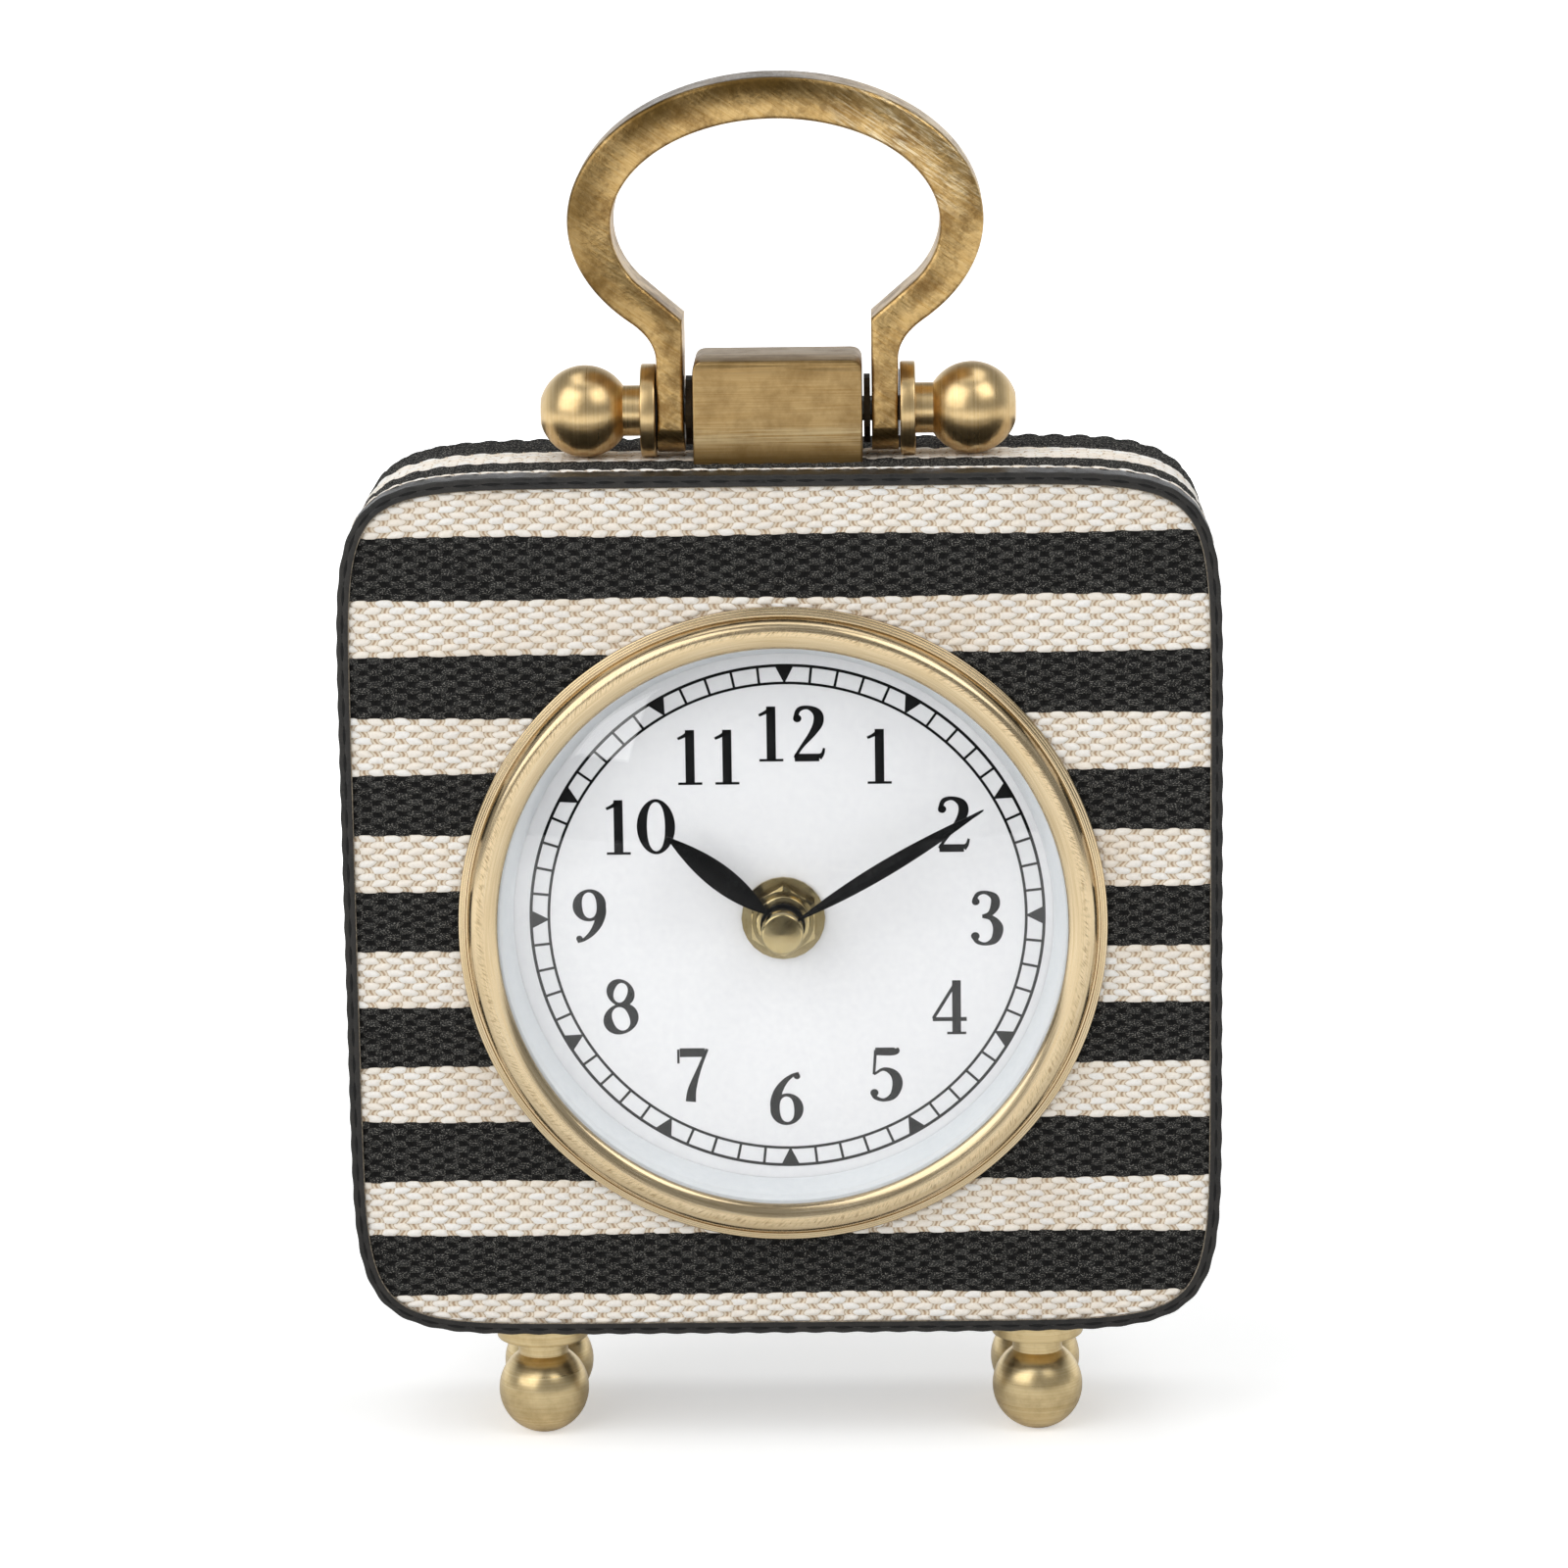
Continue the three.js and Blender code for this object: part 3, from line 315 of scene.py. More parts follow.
one_row, given, result = new_group(
    "row_of_floats",
    [("Place", "Vector", (0, 0, 0)), ("Row", "Float", 0.0)],
    [("Edge", "Float"), ("Along", "Float"), ("Cell", "Float")],
)
t = one_row
place = split(t, given["Place"])
moved = plus(t, place["X"], times(t, maths(t, "FLOORED_MODULO", given["Row"], 2.0), 0.5))
along = maths(t, "ABSOLUTE", minus(t, maths(t, "FRACT", moved), 0.5))
across = minus(t, minus(t, place["Y"], given["Row"]), 0.5)
long_part = maths(t, "POWER", times(t, along, FLOAT_PITCH / FLOAT_HALF_LENGTH), FLOAT_FULLNESS)
wide_part = maths(t, "POWER", maths(t, "ABSOLUTE", times(t, across, ROW_PITCH / FLOAT_HALF_WIDTH)), FLOAT_ROUNDNESS)
feed(t, result, {"Edge": plus(t, long_part, wide_part), "Along": along, "Cell": maths(t, "FLOOR", moved)})

canvas, canvas_tree, canvas_shader = start_material("striped_canvas", Roughness=0.9, Specular_IOR_Level=0.25)
t = canvas_tree
weave_place = add(t, "UVMap", uv_map="weave").outputs["UV"]
rows_at = split(t, weave_place)["Y"]
own_row = maths(t, "FLOOR", rows_at)
next_row = plus(t, own_row, maths(t, "SIGN", minus(t, maths(t, "FRACT", rows_at), 0.5)))
own = use_group(t, one_row, Place=weave_place, Row=own_row)
near = use_group(t, one_row, Place=weave_place, Row=next_row)
over = times(t, maths(t, "LESS_THAN", near["Edge"], own["Edge"]), maths(t, "LESS_THAN", near["Edge"], 1.0))


def either(a, b):
    """The value b where the next row's float lies on top, or else a."""
    return blend_values(canvas_tree, over, a, b)


top_row = either(own_row, next_row)
top_edge = either(own["Edge"], near["Edge"])
black = maths(t, "LESS_THAN", maths(t, "FLOORED_MODULO", top_row, float(PERIOD_ROWS)), BLACK_ROWS - 0.5)
one_float = add(t, "CombineXYZ", {"X": either(own["Cell"], near["Cell"]), "Y": top_row}).outputs[0]
each = add(t, "TexWhiteNoise", {"Vector": one_float}, noise_dimensions="2D").outputs["Value"]
twist = noise(t, scaled(t, weave_place, (14.0, 6.0, 1.0)), 1.0, 4.0, 0.65)
lint = noise(t, on_piece(t), 45.0, 3.0)
on_float = ramp(t, top_edge, 0.85, 1.1, 1.0, 0.0)
# painted shade: each float's colour darkens a little towards its rim, where the float curves down into the weave
rim = ramp(t, top_edge, 0.5, 1.0)
# the warp between floats has its own tan, with painted shade in the troughs between its threads
warp_turn = times(t, minus(t, either(own["Along"], near["Along"]), 0.5), 2 * math.pi * FLOAT_PITCH / WARP_PITCH)
warp = times(t, minus(t, 1.0, maths(t, "COSINE", warp_turn)), 0.5)
yarn = blend_colours(t, each, "#fff6e9", "#fffdf9")
yarn = blend_colours(t, rim, yarn, "#fdf2e1")
yarn = blend_colours(t, ramp(t, twist, 0.5, 0.75, 0.0, 0.4), yarn, "#dfccb2")
cream = blend_colours(t, on_float, blend_colours(t, warp, "#bc9f80", "#f4e8d4"), yarn)
cream = blend_colours(t, ramp(t, lint, 0.5, 0.7, 0.0, 0.2), cream, "#cbb190")
dark = blend_colours(t, each, "#151515", "#2a2a29")
# pale specks on the black floats: partly pale fibres, partly painted glints
dark = blend_colours(t, ramp(t, twist, 0.53, 0.63, 0.0, 0.9), dark, "#918e87")
dark = blend_colours(t, on_float, blend_colours(t, warp, "#0b0b0b", "#181716"), dark)
cloth_height = plus(t, times(t, on_float, 0.5), times(t, twist, 0.4), times(t, warp, 0.25))
finish_material(t, canvas_shader, blend_colours(t, black, cream, dark), cloth_height, 0.12)

# the front: a grid of samples, kept where it lies between the bezel and the leather
BLACK_ABOVE_DIAL = 1.0  # the middle of a black stripe lies so far above the middle of the dial
CLOTH_HOLE = 47.3
CLOTH_EDGE = 1.2
float_samples, row_samples = 8, 4
x_count = int(2 * half_width / FLOAT_PITCH) * float_samples + 1
z_count = int(2 * half_height / ROW_PITCH) * row_samples + 1
x_at = (np.arange(x_count) - x_count // 2) * FLOAT_PITCH / float_samples
z_at = (np.arange(z_count) - z_count // 2) * ROW_PITCH / row_samples
grid = np.stack(np.meshgrid(x_at, z_at), -1).reshape(-1, 2)
above_black = grid[:, 1] + case_centre.z - dial_centre.z - BLACK_ABOVE_DIAL
floats, rows = uneven(grid[:, 0] / FLOAT_PITCH + FAR_FLOATS, above_black / ROW_PITCH + BLACK_ROWS / 2 + FAR_ROWS)
points = on_case(grid, canvas_front + RELIEF * (RELIEF_MIDDLE - weave_height(floats, rows)))
faces = sheet_faces(x_count, z_count)
middles = points[faces].mean(1)[:, (0, 2)]
from_dial = np.hypot(*(middles - (dial_centre.x, dial_centre.z)).T)
from_case = np.abs(middles - (case_centre.x, case_centre.z)) / (half_case - CLOTH_EDGE)
faces = faces[(from_dial > CLOTH_HOLE) & ((from_case ** CORNER_POWER).sum(1) < 1)]
used, faces = np.unique(faces, return_inverse=True)
front_canvas = make_mesh("canvas_front", points[used], faces.reshape(-1, 4), [canvas])
write_weave(front_canvas, floats[used], rows[used])
keep(front_canvas, "clock", "canvas", "front_canvas")

# the strip: rows go round the case, from under the leather to the edge turned over the back. They
# are closer together at the front, and the ends of the strip meet under the case.
SIDE_ROW_PITCH, SIDE_STRETCH = 0.82, 0.01
LEATHER_TO_BLACK = 1.3
UNDER_LEATHER = 2.4  # over this length behind the leather the cloth sinks to lie under it
CANVAS_INSET = 0.2
TURNED_OVER, TURN_RADIUS = 3.9, 0.8
STRIP_START = 4.0  # the strip begins so far behind the front, where the leather hides it
side_floats, side_samples, strip_samples, most_rows = 126, 5, 3, 40
leather_rear = case_high.y
side_start = canvas_front + STRIP_START
first_black = leather_rear + LEATHER_TO_BLACK
flat_length = canvas_rear - TURN_RADIUS - side_start
turn_length = TURN_RADIUS * math.pi / 2
row_walk = np.arange(-2 * strip_samples, most_rows * strip_samples) / strip_samples
walk = row_walk * SIDE_ROW_PITCH + row_walk * np.abs(row_walk) * SIDE_STRETCH + first_black - side_start
on_strip = walk < flat_length + turn_length + TURNED_OVER
row_walk, walk = row_walk[on_strip], walk[on_strip]
lean = np.clip((walk - flat_length) / turn_length, 0, 1) * math.pi / 2
path_y = side_start + np.minimum(walk, flat_length) + TURN_RADIUS * np.sin(lean)
path_inset = (CANVAS_INSET * np.clip((walk + side_start - leather_rear) / UNDER_LEATHER, 0, 1)
              + TURN_RADIUS * (1 - np.cos(lean)) + np.clip(walk - flat_length - turn_length, 0, None))
side_count = side_floats * side_samples
join = (np.arange(side_count + 1) + 3 * side_count // 4) % side_count
strip = []
for inset, y, angle, row_number in zip(path_inset, path_y, lean, row_walk):
    rows = np.full(side_count + 1, row_number + FAR_ROWS)
    floats = np.arange(side_count + 1) / side_samples + FAR_FLOATS + 0.06 * math.sin(5.3 * row_number)
    proud = RELIEF * (weave_height(floats, rows) - RELIEF_MIDDLE)
    spots, out = [line[join] for line in outline(side_count, inset)]
    spots = spots + out * (proud * math.cos(angle))[:, None]
    strip.append(np.column_stack([on_case(spots, y + proud * math.sin(angle)), floats, rows]))
strip = np.concatenate(strip)
side_canvas = make_mesh("canvas_side", strip[:, :3], sheet_faces(side_count + 1, len(walk)), [canvas])
write_weave(side_canvas, strip[:, 3], strip[:, 4])
keep(side_canvas, "clock", "canvas", "side_canvas")

# ---- Leather binding: black calf, folded over the front edge. It has a narrow lip on the front and
# a band round the sides, and is sewn through near its edge, which pulls it into small scallops.
STITCH_PITCH = 4.25
STITCH_STEPS = 6
LEATHER_THICK = 0.5
LIP = 1.95
STITCH_LINE = 0.95
SIDE_SCALLOP, FRONT_SCALLOP = 0.13, 0.12
THREAD_SIDES, THREAD_RINGS = 6, 5
THREAD_HALF_WIDTH, THREAD_HALF_HEIGHT = 0.26, 0.13
THREAD_SUNK, THREAD_RISE = 0.2, 0.16


def bend(start, corner, end, steps):
    """Points of a smooth bend from start to end that is drawn towards a corner."""
    t = np.linspace(0, 1, steps + 1)[:, None]
    return start * (1 - t) ** 2 + corner * 2 * t * (1 - t) + end * t ** 2


def even_angles(count):
    return 2 * math.pi * np.arange(count) / count


def softened(corners, radius, steps=3, closed=True):
    """Rounds the corners of a line of points."""
    corners = [np.array(point, float) for point in corners]
    made = []
    for i, here in enumerate(corners):
        if not closed and i in (0, len(corners) - 1):
            made.append(here)
            continue
        arms = [corners[other % len(corners)] - here for other in (i - 1, i + 1)]
        start, end = [here + arm * min(0.45, radius / max(np.linalg.norm(arm), 1e-6)) for arm in arms]
        made += list(bend(start, here, end, steps))
    return made


leather, t, leather_shader = start_material("black_leather", Specular_IOR_Level=0.42)
pebble = add(t, "TexVoronoi", {"Vector": on_piece(t), "Scale": 1600.0}, feature="DISTANCE_TO_EDGE").outputs[0]
out = use_group(t, grain, Scale=(300.0, 300.0, 300.0))
hide = blend_colours(t, ramp(t, out["Fine"], 0.3, 0.75), "#100f0e", "#2c2925")
finish_material(t, leather_shader, hide, plus(t, ramp(t, pebble, 0.0, 0.2), out["Fine"]), 0.03,
                ramp(t, out["Fine"], 0.3, 0.7, 0.28, 0.5))
cut_edge = grained("cut_leather_edge", "#b0a38f", "#4a4238", rough=(0.7, 0.9), depth=0.03,
                   scale=(1500.0, 1500.0, 1500.0))

lip_front = case_low.y
leather_profile = softened([
    (LEATHER_THICK, leather_rear), (0.0, leather_rear), (0.0, lip_front), (STITCH_LINE - 0.15, lip_front),
    (STITCH_LINE, lip_front + 0.14), (STITCH_LINE + 0.15, lip_front), (LIP - 0.23, lip_front), (LIP, lip_front + 0.2),
    (LIP, lip_front + LEATHER_THICK), (LEATHER_THICK, lip_front + LEATHER_THICK),
], 0.42, 4)
stitch_count = round(walked_along(case_line)[-1] / STITCH_PITCH)
ring_count = stitch_count * STITCH_STEPS
pinch = 0.5 + 0.5 * np.cos(2 * math.pi * np.arange(ring_count) / STITCH_STEPS)  # 1 at each hole of the needle
leather_points = []
for inset, y in leather_profile:  # only the outer side and the front are pulled in
    spots, out = outline(ring_count, inset)
    spots = spots - out * (SIDE_SCALLOP * pinch * (inset < 0.45))[:, None]
    leather_points.append(on_case(spots, y + FRONT_SCALLOP * pinch * (y < lip_front + 0.3)))
binding = make_mesh("leather_binding", np.concatenate(leather_points),
                    sheet_faces(ring_count, len(leather_profile), closed=True, joined=True), [leather, cut_edge], 60)
insets = np.array(leather_profile)[:, 0]
is_cut = np.append((insets[:-1] + insets[1:]) / 2 > LIP - 0.15, False)
binding.data.polygons.foreach_set("material_index", np.repeat(is_cut, ring_count).astype(np.int32))
keep(binding, "clock", "leather", "front_binding")

# the thread: one short stitch in each scallop, sunk into the lip
thread = grained("waxed_thread", "#0e0d0c", "#050505", rough=(0.85, 0.95), depth=0.03, scale=(2500.0, 2500.0, 2500.0))
stitch_points, stitch_faces = [], []
stitch_line, _ = outline(ring_count, STITCH_LINE)
for number in range(stitch_count):
    start = len(stitch_points)
    last = start + (THREAD_RINGS - 1) * THREAD_SIDES
    stitch_faces += (sheet_faces(THREAD_SIDES, THREAD_RINGS, closed=True) + start).tolist()
    stitch_faces += [tuple(range(start, start + THREAD_SIDES)), tuple(range(last, last + THREAD_SIDES))[::-1]]
    for k in range(THREAD_RINGS):
        at = number * STITCH_STEPS + k + 1
        along = stitch_line[(at + 1) % ring_count] - stitch_line[at - 1]
        along /= np.hypot(*along)
        rise = math.sin(math.pi * k / (THREAD_RINGS - 1))
        swell = 0.5 + 0.5 * rise
        for a in even_angles(THREAD_SIDES):
            x, z = stitch_line[at] + np.array((-along[1], along[0])) * THREAD_HALF_WIDTH * math.cos(a) * swell
            y = lip_front + THREAD_SUNK - THREAD_RISE * rise - THREAD_HALF_HEIGHT * math.sin(a) * swell
            stitch_points.append((x + case_centre.x, y, z + case_centre.z))
keep(make_mesh("binding_stitches", stitch_points, stitch_faces, [thread]), "clock", "leather")

# ---- Turned brass: solid bar, satin brushed and darkened with age. The feet and the ends of the
# handle pin are one kind of ball knob with a neck and a flange. The feet are screwed on from inside
# the case, and the others are screwed onto the pin.
WHITE = (1, 1, 1, 1)
brushed, given, result = new_group(
    "brushed_brass",
    [("Scale", "Vector", (1, 1, 1)), ("Turn", "Vector", (0, 0, 0)), ("Light", "Color", WHITE),
     ("Middle", "Color", WHITE), ("Dark", "Color", WHITE), ("Age", "Float", 0.5), ("Satin", "Float", 0.35)],
    [("Color", "Color"), ("Roughness", "Float"), ("Height", "Float")],
)
t = brushed
place = on_piece(t)
turned = add(t, "Mapping", {"Vector": place, "Rotation": given["Turn"]}).outputs["Vector"]
streak = noise(t, scaled(t, turned, given["Scale"]), 1.0, 5.0, 0.65)
cloud = noise(t, place, 150.0, 6.0, 0.7)
aged = times(t, ramp(t, cloud, 0.45, 0.66), given["Age"])
metal = blend_colours(t, ramp(t, streak, 0.3, 0.7), given["Middle"], given["Light"])
dull = plus(t, ramp(t, streak, 0.3, 0.7, 0.0, 0.1), times(t, aged, 0.15), given["Satin"])
feed(t, result, {"Color": blend_colours(t, aged, metal, given["Dark"]), "Roughness": dull, "Height": streak})


def brushing(tree, scale, light, middle, dark, age, satin, turn=(0, 0, 0)):
    look = {"Light": light, "Middle": middle, "Dark": dark, "Age": age, "Satin": satin}
    return use_group(tree, brushed, Scale=scale, Turn=turn, **look)


def brass(name, depth, *look):
    made, tree, shader = start_material(name, Metallic=1.0)
    out = brushing(tree, *look)
    finish_material(tree, shader, out["Color"], out["Height"], depth, out["Roughness"])
    return made


def tidy_mesh(made):
    """Joins points that meet and turns all faces outwards."""
    worker = bmesh.new()
    worker.from_mesh(made.data)
    bmesh.ops.remove_doubles(worker, verts=worker.verts, dist=1e-6)
    bmesh.ops.dissolve_degenerate(worker, edges=worker.edges, dist=1e-7)
    bmesh.ops.recalc_face_normals(worker, faces=worker.faces)
    worker.to_mesh(made.data)
    worker.free()


def lathe(name, profile, centre, axis, steps, materials, smooth=35):
    """Turns a closed line of (radius, distance along the axis) round the axis through centre."""
    profile = np.array(profile)
    t = even_angles(steps)
    radial, length = profile[:, :1], np.repeat(profile[:, 1:], steps, 1)
    u, v = radial * np.cos(t), radial * np.sin(t)
    order = {"x": (length, u, v), "y": (u, length, -v), "z": (u, v, length)}[axis]
    points = np.stack(order, -1).reshape(-1, 3) + np.array(centre)
    made = make_mesh(name, points, sheet_faces(steps, len(profile), closed=True, joined=True), materials, smooth)
    tidy_mesh(made)
    return made


FOOT_FLANGE, FINIAL_FLANGE = 4.1, 2.3
KNOB_STEPS = 64


def knob_profile(flange):
    """The ball knob from its flange face outwards, with the hole for its screw."""
    ball, flat, neck_radius, neck, rim, hole, hole_end = 7.0, 2.1, 3.85, 2.7, 7.1, 2.05, 8.0
    centre = flange + neck + math.sqrt(ball ** 2 - neck_radius ** 2)
    corners = [(hole, hole_end), (hole, 0), (rim, 0), (rim, flange), (neck_radius, flange)]
    angles = np.linspace(math.pi - math.asin(neck_radius / ball), math.asin(flat / ball), 29)
    line = softened(corners, 0.3, 3, closed=False)
    line += [(ball * math.sin(a), centre + ball * math.cos(a)) for a in angles]
    return line + [(0.0, centre + ball * math.cos(angles[-1])), (0.0, hole_end)]


upright = brass("turned_brass_upright", 0.006, (25.0, 25.0, 3200.0), "#ead6a9", "#d4ba87", "#977a46", 0.4, 0.26)
across = brass("turned_brass_across", 0.006, (3200.0, 25.0, 25.0), "#e8cfa0", "#d3b37c", "#9a7742", 0.3, 0.25)
for name in [name for name in nodes if name.startswith("foot_") and "screw" not in name]:
    low, high = box_mm(name)
    middle = (low + high) / 2
    profile = [(r, high.z - a) for r, a in knob_profile(FOOT_FLANGE)]
    foot = lathe(name + "_turned", profile, (middle.x, middle.y, 0), "z", KNOB_STEPS, [upright])
    keep(foot, "clock", "brass", name)
for side, name in ((-1, "finial_left"), (1, "finial_right")):
    low, high = box_mm(name)
    middle = (low + high) / 2
    inner = high.x if side < 0 else low.x
    profile = [(r, inner + side * a) for r, a in knob_profile(FINIAL_FLANGE)]
    finial = lathe(name + "_turned", profile, (0, middle.y, middle.z), "x", KNOB_STEPS, [across])
    keep(finial, "clock", "brass", name)

# ---- Handle: a bent brass strap with a slightly crowned face, on a steel pin through a brass block
# that two screws hold from inside the case. A dark washer on each side keeps the strap off the
# block, and a thin black fibre washer keeps it off each ball knob. The dark of these washers is
# also painted shade in the gaps they fill.
STRAP_HALF, STRAP_CROWN, STRAP_EDGE = 6.3, 0.28, 0.75
ARM_INNER, ARM_OUTER, ARM_INNER_TOP = 14.2, 18.25, 14.4
WAIST_INNER, WAIST_OUTER = 20.85, 22.15
LOOP_OUTER, LOOP_OUTER_MIDDLE = (31.25, 21.45), 29.3
LOOP_INNER, LOOP_INNER_MIDDLE = (24.7, 15.9), 28.6
PIN_BORE = 2.12
pin = sum(box_mm("handle_pin"), Vector()) / 2


def distance(tree, a, b):
    """How far off a spot lies that is a along and b across."""
    return maths(tree, "SQRT", plus(tree, maths(tree, "POWER", a, 2.0), maths(tree, "POWER", b, 2.0)))


strap_brass, strap_tree, strap_shader = start_material("strap_brass", Metallic=1.0)
t = strap_tree
out = brushing(t, (260.0, 260.0, 3600.0), "#d4b680", "#b08d54", "#6b4a20", 0.75, 0.26, turn=(0, -0.61, 0))
soft = use_group(t, grain, Scale=(700.0, 700.0, 700.0))
place = split(t, on_piece(t))
out_x = times(t, place["X"], 1000 / LOOP_OUTER[0])
out_z = times(t, minus(t, place["Z"], (pin.z + LOOP_OUTER_MIDDLE) / 1000), 1000 / LOOP_OUTER[1])
reach = distance(t, out_x, out_z)


def towards(x, z):
    """How squarely a spot of the loop lies in one direction from the loop's middle, up to 1."""
    tree = strap_tree
    return maths(tree, "DIVIDE", plus(tree, times(tree, out_x, x), times(tree, out_z, z)), reach)


# painted dark reflection: the outer part of the loop's top and of its left side is darkened towards #5a4420, standing
# in for a dark room mirrored there; the broad grain breaks it up
top_dark_reflection = ramp(t, towards(-0.3, 0.95), 0.7, 0.95)
painted_dark_reflection = maths(t, "MAXIMUM", top_dark_reflection, ramp(t, towards(-1.0, -0.1), 0.55, 0.95, 0.0, 0.65))
painted_dark_reflection = times(t, painted_dark_reflection, ramp(t, reach, 0.79, 0.93), ramp(t, soft["Broad"], 0.3, 0.55, 0.6, 1.0))
strap_metal = blend_colours(t, ramp(t, soft["Fine"], 0.5, 0.62, 0.0, 0.35), out["Color"], "#6b4f28")
strap_metal = blend_colours(t, painted_dark_reflection, strap_metal, "#5a4420")
# painted highlight: pale streaks towards #f6e8c6 along the brushing on the upper right of the loop, where the right
# softbox would be mirrored
painted_highlight = times(t, ramp(t, towards(0.8, 0.6), 0.8, 1.0, 0.0, 0.8), ramp(t, out["Height"], 0.5, 0.68))
strap_metal = blend_colours(t, painted_highlight, strap_metal, "#f6e8c6")
uneven_face = plus(t, times(t, out["Height"], 0.025), times(t, soft["Broad"], 0.4), times(t, soft["Fine"], 0.12))
finish_material(t, strap_shader, strap_metal, uneven_face, 1.0, out["Roughness"])


def strap_sides():
    """The strap's outer and inner line seen from the front, in pairs, from one arm's foot to the other's."""
    outer_low, inner_low = -math.acos(WAIST_OUTER / LOOP_OUTER[0]), -math.acos(WAIST_INNER / LOOP_INNER[0])
    outer_waist = np.array((WAIST_OUTER, LOOP_OUTER_MIDDLE + LOOP_OUTER[1] * math.sin(outer_low)))
    inner_waist = (WAIST_INNER, LOOP_INNER_MIDDLE + LOOP_INNER[1] * math.sin(inner_low))
    slope = LOOP_OUTER[1] * math.cos(outer_low) / (-LOOP_OUTER[0] * math.sin(outer_low))
    shoulder = np.array((ARM_OUTER, outer_waist[1] - slope * (WAIST_OUTER - ARM_OUTER)))
    below = shoulder - (0, 3.3)
    arm_top = (ARM_INNER, ARM_INNER_TOP)
    outer = [even_steps([(ARM_OUTER, -STRAP_HALF), below], 16), bend(below, shoulder, outer_waist, 12)]
    inner = [even_steps([(ARM_INNER, -STRAP_HALF), arm_top], 16), even_steps([arm_top, inner_waist], 12)]
    lines = []
    for parts, low, half, middle in ((outer, outer_low, LOOP_OUTER, LOOP_OUTER_MIDDLE),
                                     (inner, inner_low, LOOP_INNER, LOOP_INNER_MIDDLE)):
        angle = np.linspace(low, math.pi / 2, 61)
        loop = np.stack([half[0] * np.cos(angle), middle + half[1] * np.sin(angle)], -1)
        right = np.concatenate([parts[0], parts[1][1:], loop[1:]])
        lines.append(np.concatenate([right, right[-2::-1] * (-1, 1)]))
    return lines


def strap_section(width):
    """The strap's section as (distance from the inner side, depth): outer side, back, inner side, front."""
    flat = STRAP_HALF - STRAP_CROWN
    side = flat - STRAP_EDGE
    arc = [(STRAP_EDGE * math.sin(a), STRAP_EDGE * math.cos(a)) for a in np.linspace(0, math.pi / 2, 5)]
    outer = [(width - STRAP_EDGE + s, -side - c) for s, c in arc]
    outer += [(width, y) for y in np.linspace(-side, side, 9)[1:-1]]
    outer += [(width - STRAP_EDGE + c, side + s) for s, c in arc]
    face = width - 2 * STRAP_EDGE
    across = [STRAP_EDGE + face * k / 6 for k in range(1, 6)]
    crowned = [(d, flat + STRAP_CROWN * (1 - ((2 * d - width) / face) ** 2)) for d in across]
    return outer, crowned[::-1], [(width - d, y) for d, y in outer[::-1]], [(d, -y) for d, y in crowned]


outer_line, inner_line = strap_sides()
strap_points = []
for outer_spot, inner_spot in zip(outer_line, inner_line):
    width = np.linalg.norm(outer_spot - inner_spot)
    for part in strap_section(width):
        for d, depth in part:
            x, z = inner_spot + (outer_spot - inner_spot) * d / width
            if z < 0:  # the ends of the arms are round about the pin
                z *= math.sqrt(max(1 - (depth / STRAP_HALF) ** 2, 0.0))
            strap_points.append((x + pin.x, depth + pin.y, z + pin.z))
outer_count, back_count, inner_count, front_count = [len(part) for part in strap_section(width)]
ring_count = outer_count + back_count + inner_count + front_count
strap_faces = sheet_faces(ring_count, len(outer_line), closed=True).tolist()
for first in (0, (len(outer_line) - 1) * ring_count):
    ids = list(range(first, first + ring_count))
    outer_ids, back_ids = ids[:outer_count], ids[outer_count:outer_count + back_count]
    inner_ids, front_ids = ids[outer_count + back_count:-front_count][::-1], ids[-front_count:]
    for k in range(outer_count - 1):
        strap_faces.append((outer_ids[k], outer_ids[k + 1], inner_ids[k + 1], inner_ids[k]))
    strap_faces += [(outer_ids[-1], *back_ids, inner_ids[-1]), (inner_ids[0], *front_ids, outer_ids[0])]
strap = make_mesh("handle_strap", strap_points, strap_faces, [strap_brass])
tidy_mesh(strap)


def bored(made):
    """Bores the pin's hole along x through a piece, and marks the piece's sharp edges."""
    half = 25
    drill = lathe("drill", [(0.0, -half), (PIN_BORE, -half), (PIN_BORE, half), (0.0, half)], pin, "x", 48, [])
    cut = made.modifiers.new("bore", "BOOLEAN")
    cut.operation, cut.solver, cut.object = "DIFFERENCE", "EXACT", drill
    bpy.context.view_layer.update()
    cut_mesh = bpy.data.meshes.new_from_object(made.evaluated_get(bpy.context.evaluated_depsgraph_get()))
    made.modifiers.clear()
    made.data = cut_mesh
    cut_mesh.shade_smooth()
    cut_mesh.set_sharp_from_angle(angle=math.radians(38))
    bpy.data.objects.remove(drill)


bored(strap)
keep(strap, "handle", "brass", "handle_loop")

# the block: sawn from bar, brushed along its length, with softened edges. Its colour darkens just
# under the top and towards the foot, with a pale band a little above the foot
block_brass, block_tree, block_shader = start_material("block_brass", Metallic=1.0)
t = block_tree
out = brushing(t, (60.0, 3400.0, 3400.0), "#c3a777", "#a88857", "#7d5f34", 0.5, 0.33)
block_low, block_high = box_mm("handle_block")
foot_z, top_z = block_low.z - 0.25, block_high.z
height_at = split(t, on_piece(t))["Z"]
scratch = ramp(t, out["Height"], 0.42, 0.6)


def fade(low, high, dark=0.0, light=1.0):
    """Goes from dark to light between two heights."""
    return ramp(block_tree, height_at, low / 1000, high / 1000, dark, light)


under_top = times(t, fade(top_z - 2.6, top_z - 0.8, 0.0, 0.75), scratch)
block_metal = blend_colours(t, under_top, out["Color"], "#5d4826")
block_metal = blend_colours(t, fade(foot_z + 1.0, foot_z + 3.2, 0.6, 0.0), block_metal, "#93713a")
pale_band = times(t, fade(foot_z + 2.8, foot_z + 4.2), fade(foot_z + 5.0, foot_z + 6.4, 1.0, 0.0))
pale_band = times(t, pale_band, times(t, scratch, 0.55))
block_metal = blend_colours(t, pale_band, block_metal, "#d9c69c")
finish_material(t, block_shader, block_metal, out["Height"], 0.012, out["Roughness"])


